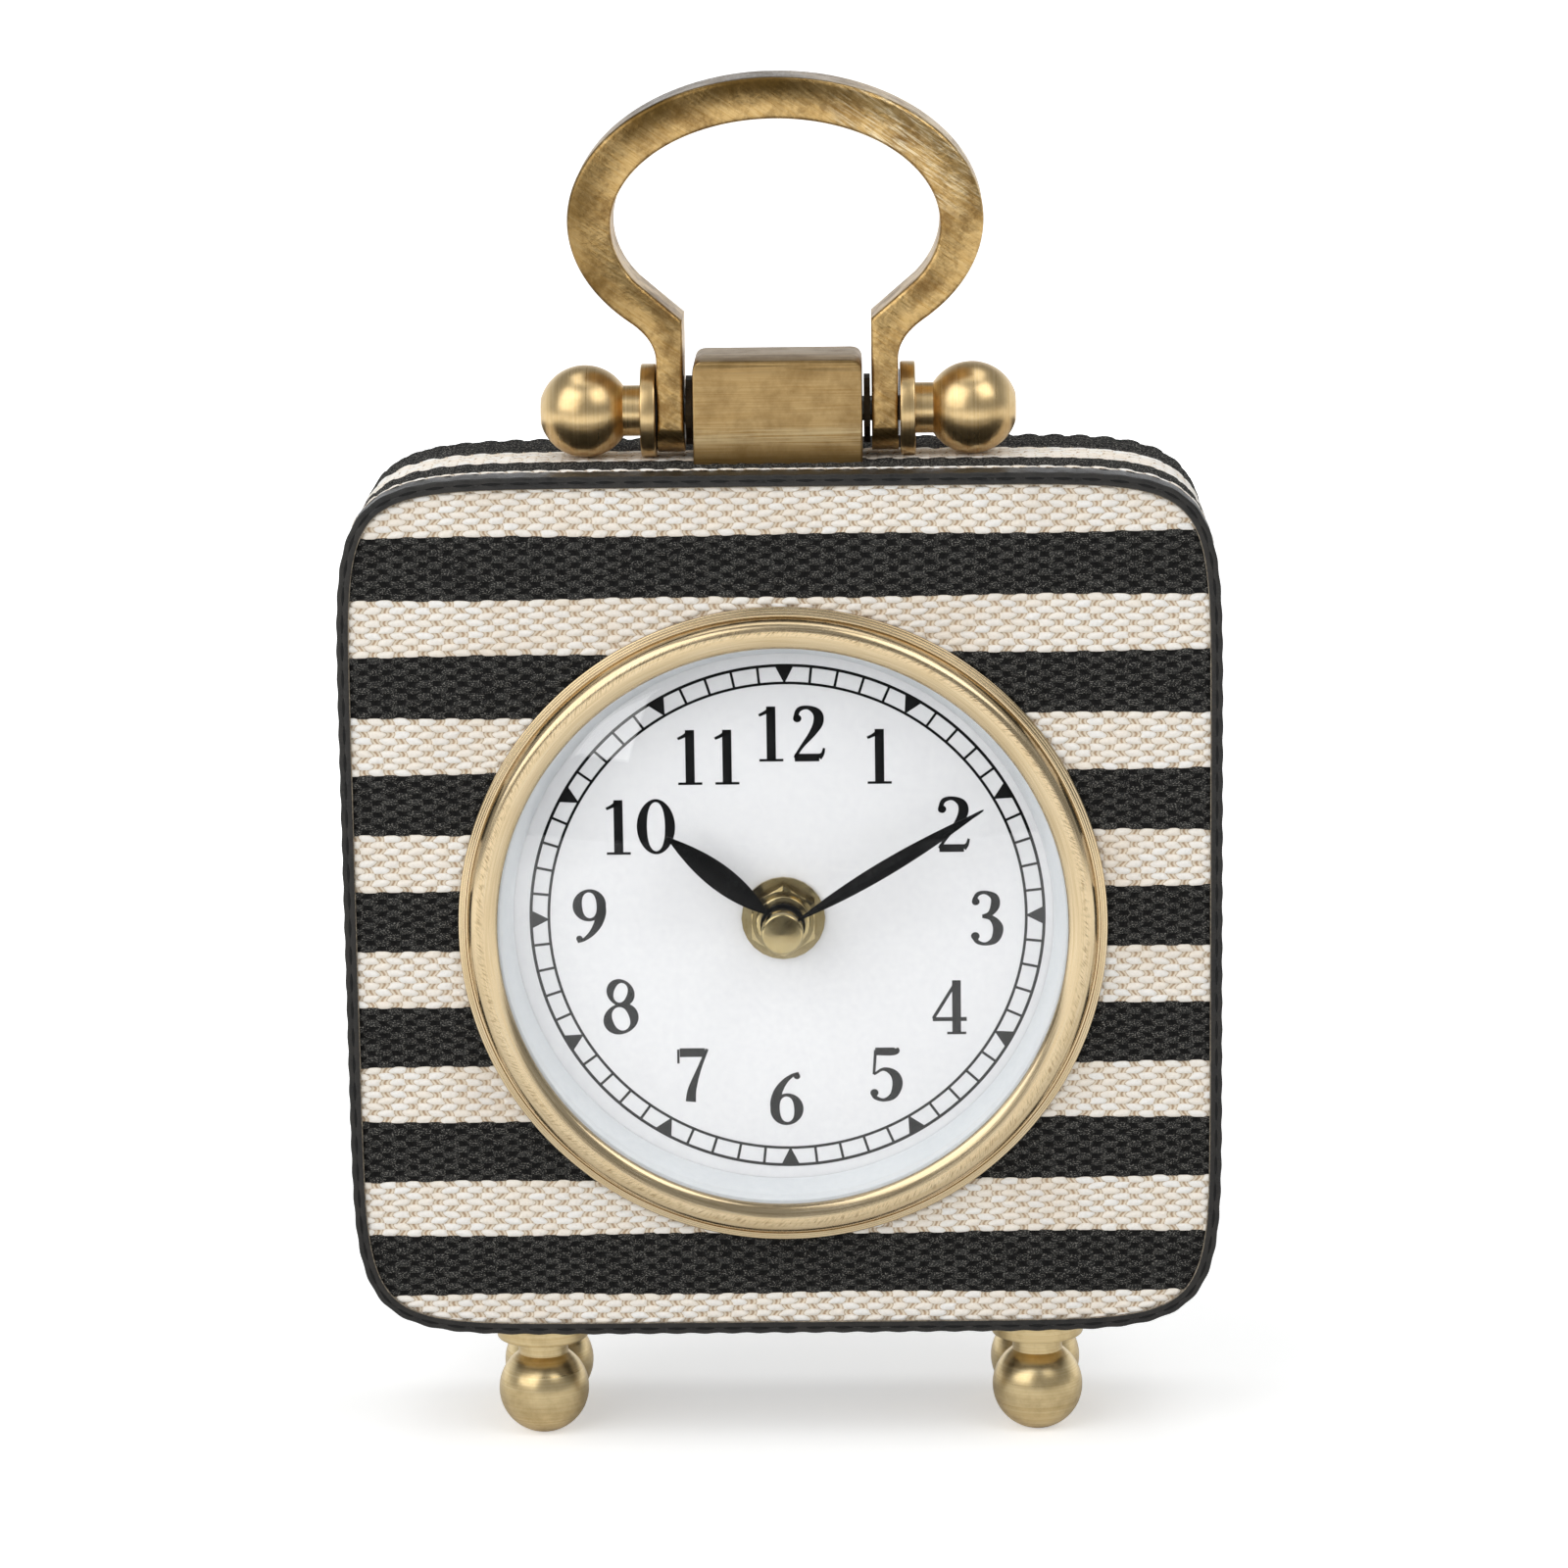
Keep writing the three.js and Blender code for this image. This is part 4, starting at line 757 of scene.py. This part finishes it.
def slab(line, start, end, bevel):
    """The points and sides of a plate with softened edges, whose outline stands from start to end."""
    rings = []
    count = len(line)
    shares = [(0, 1.3), (0, 1), (0.3, 0.3), (1, 0)]  # how deep and how far in, as parts of the bevel
    levels = [(start + bevel * deep, bevel * far) for deep, far in shares]
    levels += [(end - bevel * deep, bevel * far) for deep, far in shares[::-1]]
    for y, inset in levels:
        for k in range(count):
            before, here, after = (np.array(line[(k + d) % count]) for d in (-1, 0, 1))
            along = (here - before) / np.linalg.norm(here - before) + (after - here) / np.linalg.norm(after - here)
            along /= np.linalg.norm(along)
            spot = here + np.array((-along[1], along[0])) * inset
            rings.append((spot[0], y, spot[1]))
    faces = sheet_faces(count, len(levels), closed=True).tolist()
    return rings, faces + [tuple(range(count)), tuple(range(len(rings) - count, len(rings)))]


half_length = block_high.x
block_line = softened([(half_length, foot_z), (half_length, top_z), (-half_length, top_z), (-half_length, foot_z)],
                      1.8, 6, closed=False)
block = make_mesh("handle_block_brushed", *slab(block_line, block_low.y, block_high.y, 0.3), [block_brass])
tidy_mesh(block)
bored(block)
keep(block, "clock", "brass", "handle_block")
dress(zinc, "handle_pin")
# the washers' dark brown is partly tarnish and partly painted shade in the gap between strap and block
dress(grained("washer_tarnish_and_shade", "#3a2d1b", "#1d160d", rough=(0.4, 0.6), depth=0.01, Metallic=0.8),
      "pin_washer_left", "pin_washer_right")
# this thin black washer is partly painted shade: it darkens the gap between the strap and each ball knob
black_fibre_shade = grained("black_fibre_and_shade", "#1c1b1a", "#0f0e0e", rough=(0.6, 0.8), depth=0.03)
WASHER_HOLE, WASHER_RIM, WASHER_INNER, WASHER_OUTER = 2.2, 5.9, 18.3, 18.45
for side, name in ((-1, "knob_washer_left"), (1, "knob_washer_right")):
    inner, outer = side * WASHER_INNER, side * WASHER_OUTER
    corners = [(WASHER_HOLE, inner), (WASHER_RIM, inner), (WASHER_RIM, outer), (WASHER_HOLE, outer)]
    ring_line = softened(corners, 0.04, 2)
    keep(lathe(name, ring_line, pin, "x", 48, [black_fibre_shade]), "clock", "brass")

# ---- Insert: a pressed steel cup with a white lacquered dial, a white sloping ring round it, a
# domed glass and a turned bezel whose fine steps lie on the cloth.
CREST = 45.8  # the radius at which the bezel stands highest
BRUSH_RADIUS = 0.046  # in metres: the way round is measured here, on the bezel
GLASS_RIM, GLASS_RISE, GLASS_BACK, GLASS_FRONT = 42.8, 6.6, 6.4, 7.8
dress(grained("pressed_steel", "#aab0b3", "#7d8285", rough=(0.3, 0.45), depth=0.01, Metallic=1.0), "insert_cup")
dress(grained("white_lacquer", "#e3e3e4", "#dddddf", rough=(0.45, 0.55), depth=0.004), "dial")
collar_white = grained("collar_white", "#ebeef0", "#e4e8eb", rough=(0.45, 0.55), depth=0.004)


def turned_on_dial(name, profile, steps, material, smooth=35):
    """Turns a line of (radius, distance in front of the dial) round the middle of the dial."""
    line = [(r, dial_front - p) for r, p in profile]
    return lathe(name, line, (dial_centre.x, 0.0, dial_centre.z), "y", steps, [material], smooth)


collar_line = softened([(40.9, 0.15), (44.3, 0.15), (44.3, 6.25), (42.8, 6.25)], 0.15, 2)
keep(turned_on_dial("dial_collar_ring", collar_line, 160, collar_white), "clock", "dial_white", "dial_collar")

round_brush, given, result = new_group(
    "brushed_round",
    [("Centre", "Vector", (0, 0, 0))],
    [("Around", "Float"), ("Slanting", "Float"), ("Radius", "Float")],
)
t = round_brush
place = add(t, "VectorMath", {0: on_piece(t), 1: given["Centre"]}, operation="SUBTRACT").outputs[0]
spot = split(t, place)
radius = distance(t, spot["X"], spot["Z"])
round_by = times(t, maths(t, "ARCTAN2", spot["Z"], spot["X"]), BRUSH_RADIUS)
around = add(t, "CombineXYZ", {"X": times(t, radius, 5000.0), "Y": times(t, round_by, 90.0),
                               "Z": times(t, spot["Y"], 5000.0)}).outputs[0]
slant = add(t, "CombineXYZ", {"X": times(t, plus(t, round_by, radius), 3600.0),
                              "Y": times(t, minus(t, round_by, radius), 500.0)}).outputs[0]
feed(t, result, {"Around": noise(t, around, 1.0, 4.0), "Slanting": noise(t, slant, 1.0, 2.0), "Radius": radius})

bezel_brass, t, bezel_shader = start_material("bezel_brass", Metallic=1.0)
marks = use_group(t, round_brush, Centre=dial_centre / 1000)
soft = use_group(t, grain, Scale=EVEN_GRAIN)
satin = blend_colours(t, ramp(t, marks["Around"], 0.3, 0.7), "#c6b08a", "#dac7a5")
satin = blend_colours(t, ramp(t, soft["Broad"], 0.5, 0.8, 0.0, 0.35), satin, "#c4a878")
from_crest = maths(t, "ABSOLUTE", minus(t, marks["Radius"], CREST / 1000))
scratched = times(t, ramp(t, from_crest, 0.0, 0.0009, 1.0, 0.0), ramp(t, marks["Slanting"], 0.5, 0.64, 0.0, 0.6))
satin = blend_colours(t, scratched, satin, "#7d6036")
finish_material(t, bezel_shader, satin, minus(t, marks["Around"], scratched), 0.012,
                ramp(t, marks["Around"], 0.3, 0.7, 0.16, 0.28))
quarter = np.linspace(0, math.pi / 2, 17)
bezel_line = [(49.1, 6.15), (49.1, 6.7), (48.98, 6.82), (48.74, 6.82), (48.7, 6.95), (48.62, 7.03), (48.4, 7.03),
              (48.36, 7.16), (48.28, 7.24), (48.06, 7.24), (47.98, 7.14), (47.96, 6.9), (47.75, 6.9)]
bezel_line += [(CREST + 1.9 * math.cos(a), 7.0 + 2.5 * math.sin(a)) for a in quarter]
bezel_line += [(CREST - 2.7 * math.sin(a), 8.35 + 1.15 * math.cos(a)) for a in quarter[1:]]
bezel_line += [(43.1, 7.95), (44.6, 7.95), (44.6, 6.15)]
keep(turned_on_dial("bezel_turned", bezel_line, 256, bezel_brass, 50), "clock", "brass", "bezel")

glass, t, glass_shader = start_material("domed_glass", Roughness=0.0, IOR=1.5, Transmission_Weight=1.0)
faint = use_group(t, grain, Scale=(60.0, 60.0, 60.0))
feed(t, glass_shader.inputs, {"Base Color": blend_colours(t, faint["Broad"], (0.985, 0.99, 0.99, 1), WHITE)})
shadow = add(t, "LightPath").outputs["Is Shadow Ray"]
through = add(t, "BsdfTransparent").outputs[0]
mixed = add(t, "MixShader", {0: shadow, 1: glass_shader.outputs[0], 2: through}).outputs[0]
feed(t, t.nodes["Material Output"].inputs, {"Surface": mixed})
dome_radius = (GLASS_RIM ** 2 + GLASS_RISE ** 2) / (2 * GLASS_RISE)
dome = [(r, math.sqrt(dome_radius ** 2 - r ** 2) - (dome_radius - GLASS_RISE)) for r in np.linspace(0, GLASS_RIM, 25)]
crystal_line = [(r, GLASS_FRONT + h) for r, h in dome] + [(44.3, GLASS_FRONT), (44.3, GLASS_BACK)]
crystal_line += [(r, GLASS_BACK + h) for r, h in dome[::-1]]
keep(turned_on_dial("crystal_dome", crystal_line, 128, glass, 40), "clock", "glass", "crystal")

# ---- Dial print: black figures in an old book face, two thin rings, a line for each minute and a
# small wedge at each hour, printed on the lacquer.
PRINT_FRONT = 0.03
PRINT_SHIFT = 0.6  # the print is a little to the right of the middle of the dial
ink = grained("printing_ink", "#0e0e0f", "#080809", rough=(0.5, 0.65), depth=0.004, Specular_IOR_Level=0.1)
print_points, print_faces = [], []


def print_sheet(points, joined=False):
    """Prints a strip of points in pairs."""
    print_faces.extend((sheet_faces(2, len(points) // 2, joined=joined) + len(print_points)).tolist())
    print_points.extend(points)


def print_shape(corners):
    print_faces.append(tuple(range(len(print_points), len(print_points) + len(corners))))
    print_points.extend(corners)


def smooth_line(points, steps=8):
    """A smooth line through points of (x, z, width)."""
    points = [2 * points[0] - points[1]] + points + [2 * points[-1] - points[-2]]
    made = []
    for i in range(1, len(points) - 2):
        a, b, c, d = points[i - 1:i + 3]
        for t in np.arange(steps) / steps:
            cubic = 2 * b + (c - a) * t + (2 * a - 5 * b + 4 * c - d) * t ** 2 + (3 * b - a - 3 * c + d) * t ** 3
            made.append(0.5 * cubic)
    return made + [points[-2]]


def print_stroke(points, move):
    """Prints a line of (x, z, width), made smooth unless it is straight or an oval, which is fine enough."""
    line = [np.array(point, float) for point in points]
    if 2 < len(points) < 40:
        line = smooth_line(line)
    is_ring = np.allclose(line[0][:2], line[-1][:2])
    edges = []
    for i, (x, z, width) in enumerate(line):
        before, after = line[max(i - 1, 0)], line[min(i + 1, len(line) - 1)]
        if is_ring and i in (0, len(line) - 1):
            before, after = line[-2], line[1]
        dx, dz = after[0] - before[0], after[1] - before[1]
        length = math.hypot(dx, dz) or 1
        for side in (-0.5, 0.5):
            edges.append(move(x - dz / length * width * side, z + dx / length * width * side))
    print_sheet(edges)


def oval_loop(x, z, half_x, half_z, thin, thick, lean=0.0):
    """An oval of (x, z, width) whose line swells at its sides, or a little off them by lean."""
    return [(x + half_x * math.cos(a), z + half_z * math.sin(a), thin + (thick - thin) * math.cos(a + lean) ** 2)
            for a in np.linspace(0, 2 * math.pi, 61)]


# each figure's strokes as points (x, z, width) and its dots as (x, z, radius), in a box 100 high
SIX = [oval_loop(32.5, 29, 20, 26.5, 4.5, 13.5, -0.1),
       [(53, 96.5, 2.5), (42, 91.5, 5), (29, 80, 8.5), (18.5, 63, 12.5), (13, 44, 14),
        (12.5, 29, 13)]]
STROKES = {
    "0": ([oval_loop(31, 50, 23.5, 47.5, 4.5, 14.5)], []),
    "1": ([[(30, 99, 13), (30, 2, 13)], [(10, 83, 4), (20, 88, 5), (30, 95, 7)],
           [(10, 1.8, 3.6), (50, 1.8, 3.6)]], []),
    "2": ([[(9, 79, 6), (15, 93, 7), (30, 96.5, 6), (45, 87, 13), (47, 70, 14.5),
            (37, 50, 10), (20, 27, 5), (7, 6, 4)],
           [(7, 6, 12), (48, 6, 12)], [(47, 6, 10), (53.5, 13, 5), (56, 23, 3)]],
          [(12, 77, 7)]),
    "3": ([[(10, 82, 6), (17, 94, 6), (30, 96.5, 5.5), (44, 88, 11.5), (45, 72, 13),
            (37, 58, 8), (24, 53, 4.5)],
           [(24, 53, 4.5), (40, 49, 9), (50, 32, 15), (45, 11, 12), (30, 2.5, 5),
            (16, 6, 6), (9, 17, 7)]], [(13, 80, 6.5), (12, 17, 7.2)]),
    "4": ([[(43, 99, 12.5), (43, 2, 12.5)], [(42, 95, 4.5), (4, 29, 4.5)],
           [(3, 27.5, 6), (60, 27.5, 6)], [(27, 1.8, 3.6), (59, 1.8, 3.6)]], []),
    "5": ([[(14, 92.5, 12), (46, 92.5, 12), (53, 98.5, 2)], [(14.5, 95, 4), (11.5, 50, 3.5)],
           [(11.5, 50, 3), (28, 59.5, 5), (45, 51, 12), (51, 33, 15), (44, 11, 11),
            (28, 2.5, 5), (14, 7, 6), (9, 16, 7)]], [(12, 16, 6.8)]),
    "6": (SIX, [(50, 90, 5.5)]),
    "7": ([[(8, 92, 14), (50, 92, 14)], [(5.5, 98, 3), (5.5, 72, 3)],
           [(54, 98.5, 4), (40, 62, 6), (28, 25, 12), (25, 1, 15)]], []),
    "8": ([oval_loop(31, 75.5, 17.5, 21.5, 4.5, 11.5, 0.5),
           oval_loop(31, 27.5, 22, 25, 4.5, 14, -0.4)], []),
    "9": ([[(62 - x, 100 - z, w) for x, z, w in stroke] for stroke in SIX], [(12, 10, 5.5)]),
}
FIGURE_HEIGHT, FIGURE_STRETCH, FIGURE_PITCH = 8.5, 1.07, 5.6
figure_places = {1: (14.3, 24.85), 2: (25.3, 14.25), 3: (30.2, -0.4), 4: (24.45, -14.25), 5: (14.65, -24.75),
                 6: (-0.6, -28.35), 7: (-14.6, -24.65), 8: (-25.55, -13.75), 9: (-29.9, 0.35), 10: (-22.5, 14.25),
                 11: (-11.5, 24.95), 12: (0.8, 28.45)}
for hour, (middle_x, middle_z) in figure_places.items():
    text = str(hour)
    for k, figure in enumerate(text):
        strokes, dots = STROKES[figure]
        at = middle_x + (k - (len(text) - 1) / 2) * FIGURE_PITCH

        def move(x, z, at=at, middle_z=middle_z):
            return at + (x - 31) / 100 * FIGURE_HEIGHT * FIGURE_STRETCH, middle_z + (z - 50) / 100 * FIGURE_HEIGHT

        for stroke in strokes:
            print_stroke([(x, z, width * 1.12 + 0.6) for x, z, width in stroke], move)
        for x, z, radius in dots:
            print_shape([move(x + radius * math.cos(a), z + radius * math.sin(a)) for a in even_angles(20)])
TRACK_OUTER, TRACK_INNER, TRACK_STEPS = (38.68, 39.14), (36.0, 36.42), 240
for ring in (TRACK_OUTER, TRACK_INNER):
    print_sheet([(r * math.cos(a), r * math.sin(a)) for a in even_angles(TRACK_STEPS) for r in ring], joined=True)
WEDGE, LINE = (1.38, 0.1), (0.2, 0.2)  # half the width at the outer and at the inner ring
for minute in range(60):
    a = math.radians(6 * minute)
    out_x, out_z, side_x, side_z = math.sin(a), math.cos(a), math.cos(a), -math.sin(a)
    wide, foot = WEDGE if minute % 5 == 0 else LINE
    print_shape([(out_x * r + side_x * s, out_z * r + side_z * s)
                 for r, s in ((38.8, -wide), (38.8, wide), (36.3, foot), (36.3, -foot))])
print_mesh = [(x + PRINT_SHIFT + dial_centre.x, dial_front - PRINT_FRONT, z + dial_centre.z) for x, z in print_points]
keep(make_mesh("dial_print", print_mesh, print_faces, [ink]), "clock", "hand_black")

# ---- Hands: pressed leaves in gloss black with a line down the middle, on the arbors of the
# movement. A brass washer and a hexagon nut on the movement's threaded bush hold the dial, and a
# domed cap nut holds the hands.
gloss_black = grained("gloss_black", "#0e0e0f", "#070708", rough=(0.2, 0.3), depth=0.002, Specular_IOR_Level=0.08)
polished = brass("polished_brass", 0.003, (300.0, 300.0, 300.0), "#decd9f", "#c8b27d", "#98804e", 0.3, 0.12)
LEAF_STEPS, EYE_STEPS = 48, 64


def hand(name, node, body, length, width, hub, hole, plane, angle):
    """A leaf hand with a raised middle line and a round eye, pointing clockwise from 12 by angle."""
    start = hub - 0.6
    flat = []
    for t in np.arange(LEAF_STEPS + 1) / LEAF_STEPS:
        leaf = math.sin(math.pi * t ** 0.92) ** 0.85 if 0 < t < 1 else 0.0
        tip = 0.1 * width * (1 - max(t - 0.97, 0) / 0.03 * 0.7)
        half = max(width / 2 * leaf, tip)
        crease = 0.4 + 0.42 * 2 * half / width
        left = [(-half, 0.02), (-half, 0.3), (-half * 0.93, 0.4)]
        section = left + [(0, crease)] + [(-x, p) for x, p in left[::-1]]
        flat += [(x, p, start + (length - start) * t) for x, p in section]
    wide = len(section)
    faces = sheet_faces(wide, LEAF_STEPS + 1, closed=True).tolist()
    faces += [tuple(range(wide)), tuple(range(len(flat) - wide, len(flat)))[::-1]]
    ring_line = softened([(hub, 0.0), (hub, 0.6), (hole, 0.6), (hole, 0.0)], 0.18, 3)
    faces += (sheet_faces(EYE_STEPS, len(ring_line), closed=True, joined=True) + len(flat)).tolist()
    flat += [(r * math.sin(a), p, r * math.cos(a)) for r, p in ring_line for a in even_angles(EYE_STEPS)]
    turn = math.radians(angle)
    points = [(x * math.cos(turn) + z * math.sin(turn) + dial_centre.x, dial_front - plane - p,
               -x * math.sin(turn) + z * math.cos(turn) + dial_centre.z) for x, p, z in flat]
    made = make_mesh(name, points, faces, [gloss_black], 30)
    tidy_mesh(made)
    keep(made, body, "hand_black", node)


hand("hour_hand_leaf", "hour_hand", "hour_hand_group",
     length=22.1, width=3.9, hub=3.4, hole=2.65, plane=5.2, angle=308.6)
hand("minute_hand_leaf", "minute_hand", "minute_hand_group",
     length=35.3, width=2.4, hub=3.2, hole=2.0, plane=7.7, angle=59.2)
dress(polished, "dial_washer", "dial_nut")
thread_line = [(2.8, 3.97), (3.8, 3.97)] + [(4.0 - 0.12 * (k % 2), 3.85 - 0.2 * k) for k in range(7)] + [(2.8, 2.6)]
keep(turned_on_dial("bush_thread", thread_line, 64, polished), "clock", "polished_brass")
cap_line = [(1.65, 8.3), (3.15, 8.3), (3.15, 11.0), (2.9, 11.25), (0.0, 11.7), (0.0, 10.4), (1.65, 10.4)]
cap = turned_on_dial("cap_nut_turned", softened(cap_line, 0.12, 3), 64, polished)
keep(cap, "minute_hand_group", "polished_brass", "cap_nut")

# ---- Movement: moulded black case with a cell bay, nylon wheels, and a coil that turns a small
# magnet. It is seen through the window in the rear cover.
dress(grained("moulded_plastic", "#2d2e30", "#232426", rough=(0.42, 0.6), depth=0.02, scale=(1400.0, 1400.0, 1400.0)),
      "movement_front", "movement_back")
dress(grained("nylon", "#ecebe3", "#dddbd0", rough=(0.4, 0.55), depth=0.01), "hour_wheel", "minute_wheel", "set_knob")
dress(grained("bright_steel", "#c3c7c9", "#8f9497", rough=(0.2, 0.35), depth=0.006, scale=(500.0, 2200.0, 500.0),
              Metallic=1.0),
      "minute_arbor", "contact_minus", "contact_plus", "stator", "rotor", "crystal_can")
dress(grained("enamelled_wire", "#c07743", "#7f4522", rough=(0.25, 0.45), depth=0.05, scale=(4200.0, 200.0, 200.0),
              Metallic=1.0), "coil")
dress(grained("circuit_green", "#35784c", "#245738", rough=(0.4, 0.6), depth=0.02), "circuit_board")

# the cell: a dark printed sleeve with a brass coloured band at one end, and the bare steel end past it
BAND_FROM, SLEEVE_END = 0.013, 0.0232
cell, t, cell_shader = start_material("cell_sleeve", Metallic=0.4, Roughness=0.35)
cell_x = split(t, on_piece(t))["X"]
cell_out = use_group(t, grain, Scale=EVEN_GRAIN)
sleeve = blend_colours(t, cell_out["Fine"], "#33404d", "#44556a")
sleeve = blend_colours(t, maths(t, "GREATER_THAN", cell_x, BAND_FROM), sleeve, "#b98d4a")
sleeve = blend_colours(t, maths(t, "GREATER_THAN", cell_x, SLEEVE_END), sleeve, "#c9cccd")
finish_material(t, cell_shader, sleeve, cell_out["Fine"], 0.005)
dress(cell, "cell")

# ---- The scene round the clock: white paper under it, two big softboxes in front, a weak one above
# and the camera. The far paper and the room are white to the camera.


def ray_kinds(tree):
    """How much a ray is seen, also straight through glass, is mirrored, also inside the glass, and is sharp."""
    path = add(tree, "LightPath").outputs
    bounced = maths(tree, "GREATER_THAN", path["Glossy Depth"], 0.5)
    straight = times(tree, path["Is Transmission Ray"], minus(tree, 1.0, bounced))
    returned = times(tree, path["Is Transmission Ray"], bounced)
    seen = maths(tree, "MAXIMUM", path["Is Camera Ray"], straight)
    return seen, maths(tree, "MAXIMUM", path["Is Glossy Ray"], returned), path["Is Singular Ray"]


# the paper: a sharp mirror sees it dark in front of the clock, and it glows more the farther off it is
paper, t, paper_shader = start_material("white_paper", Roughness=0.85, Specular_IOR_Level=0.2)
spot = split(t, on_piece(t))
away = distance(t, spot["X"], spot["Y"])
seen, mirrored, sharp = ray_kinds(t)
off_line = maths(t, "DIVIDE", maths(t, "ABSOLUTE", spot["X"]), maths(t, "ABSOLUTE", spot["Y"]))
in_front = times(t, ramp(t, spot["Y"], -0.42, -0.15, 1.0, 0.0), ramp(t, off_line, 0.3, 0.8, 1.0, 0.0))
in_front = times(t, in_front, times(t, sharp, 0.95), mirrored)
fibre = use_group(t, grain, Scale=(400.0, 400.0, 400.0))
white_fibre = blend_colours(t, fibre["Fine"], "#efefee", "#f6f6f5")
sideways = times(t, minus(t, mirrored, in_front), ramp(t, away, 0.12, 0.6, 0.1, 0.75))
glow = plus(t, times(t, seen, ramp(t, away, 0.09, 0.3, 0.45, 1.0)), maths(t, "MAXIMUM", sideways, 0.0))
feed(t, paper_shader.inputs, {"Base Color": blend_colours(t, in_front, white_fibre, "#262626"),
                              "Emission Color": WHITE, "Emission Strength": glow})
sheet = [(-6000, -4000, 0), (6000, -4000, 0), (6000, 9000, 0), (-6000, 9000, 0)]
floor = make_mesh("floor", sheet, [(0, 1, 2, 3)], [paper])

world = bpy.data.worlds.new("studio")
bpy.context.scene.world = world
world.use_nodes = True
t = world.node_tree
sky = split(t, add(t, "TexCoord").outputs["Generated"])
seen, mirrored, sharp = ray_kinds(t)
behind = ramp(t, sky["Z"], 0.15, 0.6, 1.15, 0.3)
front = ramp(t, sharp, 0.0, 1.0, 0.3, 0.06)
room = blend_values(t, mirrored, 0.32, blend_values(t, ramp(t, sky["Y"], -0.1, 0.5), front, behind))
feed(t, t.nodes["Background"].inputs, {"Color": (0.96, 0.98, 1.0, 1), "Strength": blend_values(t, seen, room, 1.05)})


def lamp(name, place, width, height, power):
    """A softbox turned to the middle of the clock, with its place and size in metres."""
    data = bpy.data.lights.new(name, "AREA")
    data.shape = "RECTANGLE"
    data.size, data.size_y, data.energy = width, height, power
    made = add_object(name, data)
    made.location = place
    made.rotation_euler = (Vector((0, 0, 0.1)) - Vector(place)).to_track_quat("-Z", "Y").to_euler()


lamp("softbox_left", (-0.69, -0.69, 0.78), 1.1, 1.1, 7.3)
lamp("softbox_right", (0.62, -0.58, 1.0), 0.75, 0.7, 3.7)
lamp("softbox_above", (0.0, 0.15, 1.2), 0.9, 0.7, 3.1)

CAMERA_DISTANCE = 0.8732
PICTURE, FOCAL_PIXELS, SENSOR = 1600, 5880, 36.0
turn, lift, roll = [math.radians(angle) for angle in (1.1, 12.1, -0.78)]
aim = Matrix.Rotation(turn, 3, "Z") @ Matrix.Rotation(math.pi / 2 - lift, 3, "X") @ Matrix.Rotation(roll, 3, "Z")
target = Vector((0.00035, dial_front / 1000, dial_centre.z / 1000 + 0.02065))
camera_data = bpy.data.cameras.new("camera")
camera_data.sensor_width = SENSOR
camera_data.lens = FOCAL_PIXELS * SENSOR / PICTURE
camera_data.clip_start, camera_data.clip_end = 0.01, 20
camera = add_object("camera", camera_data)
camera.matrix_world = aim.to_4x4()
camera.location = target + aim.col[2] * CAMERA_DISTANCE
bpy.context.scene.camera = camera
bpy.context.scene.view_settings.view_transform = "Standard"
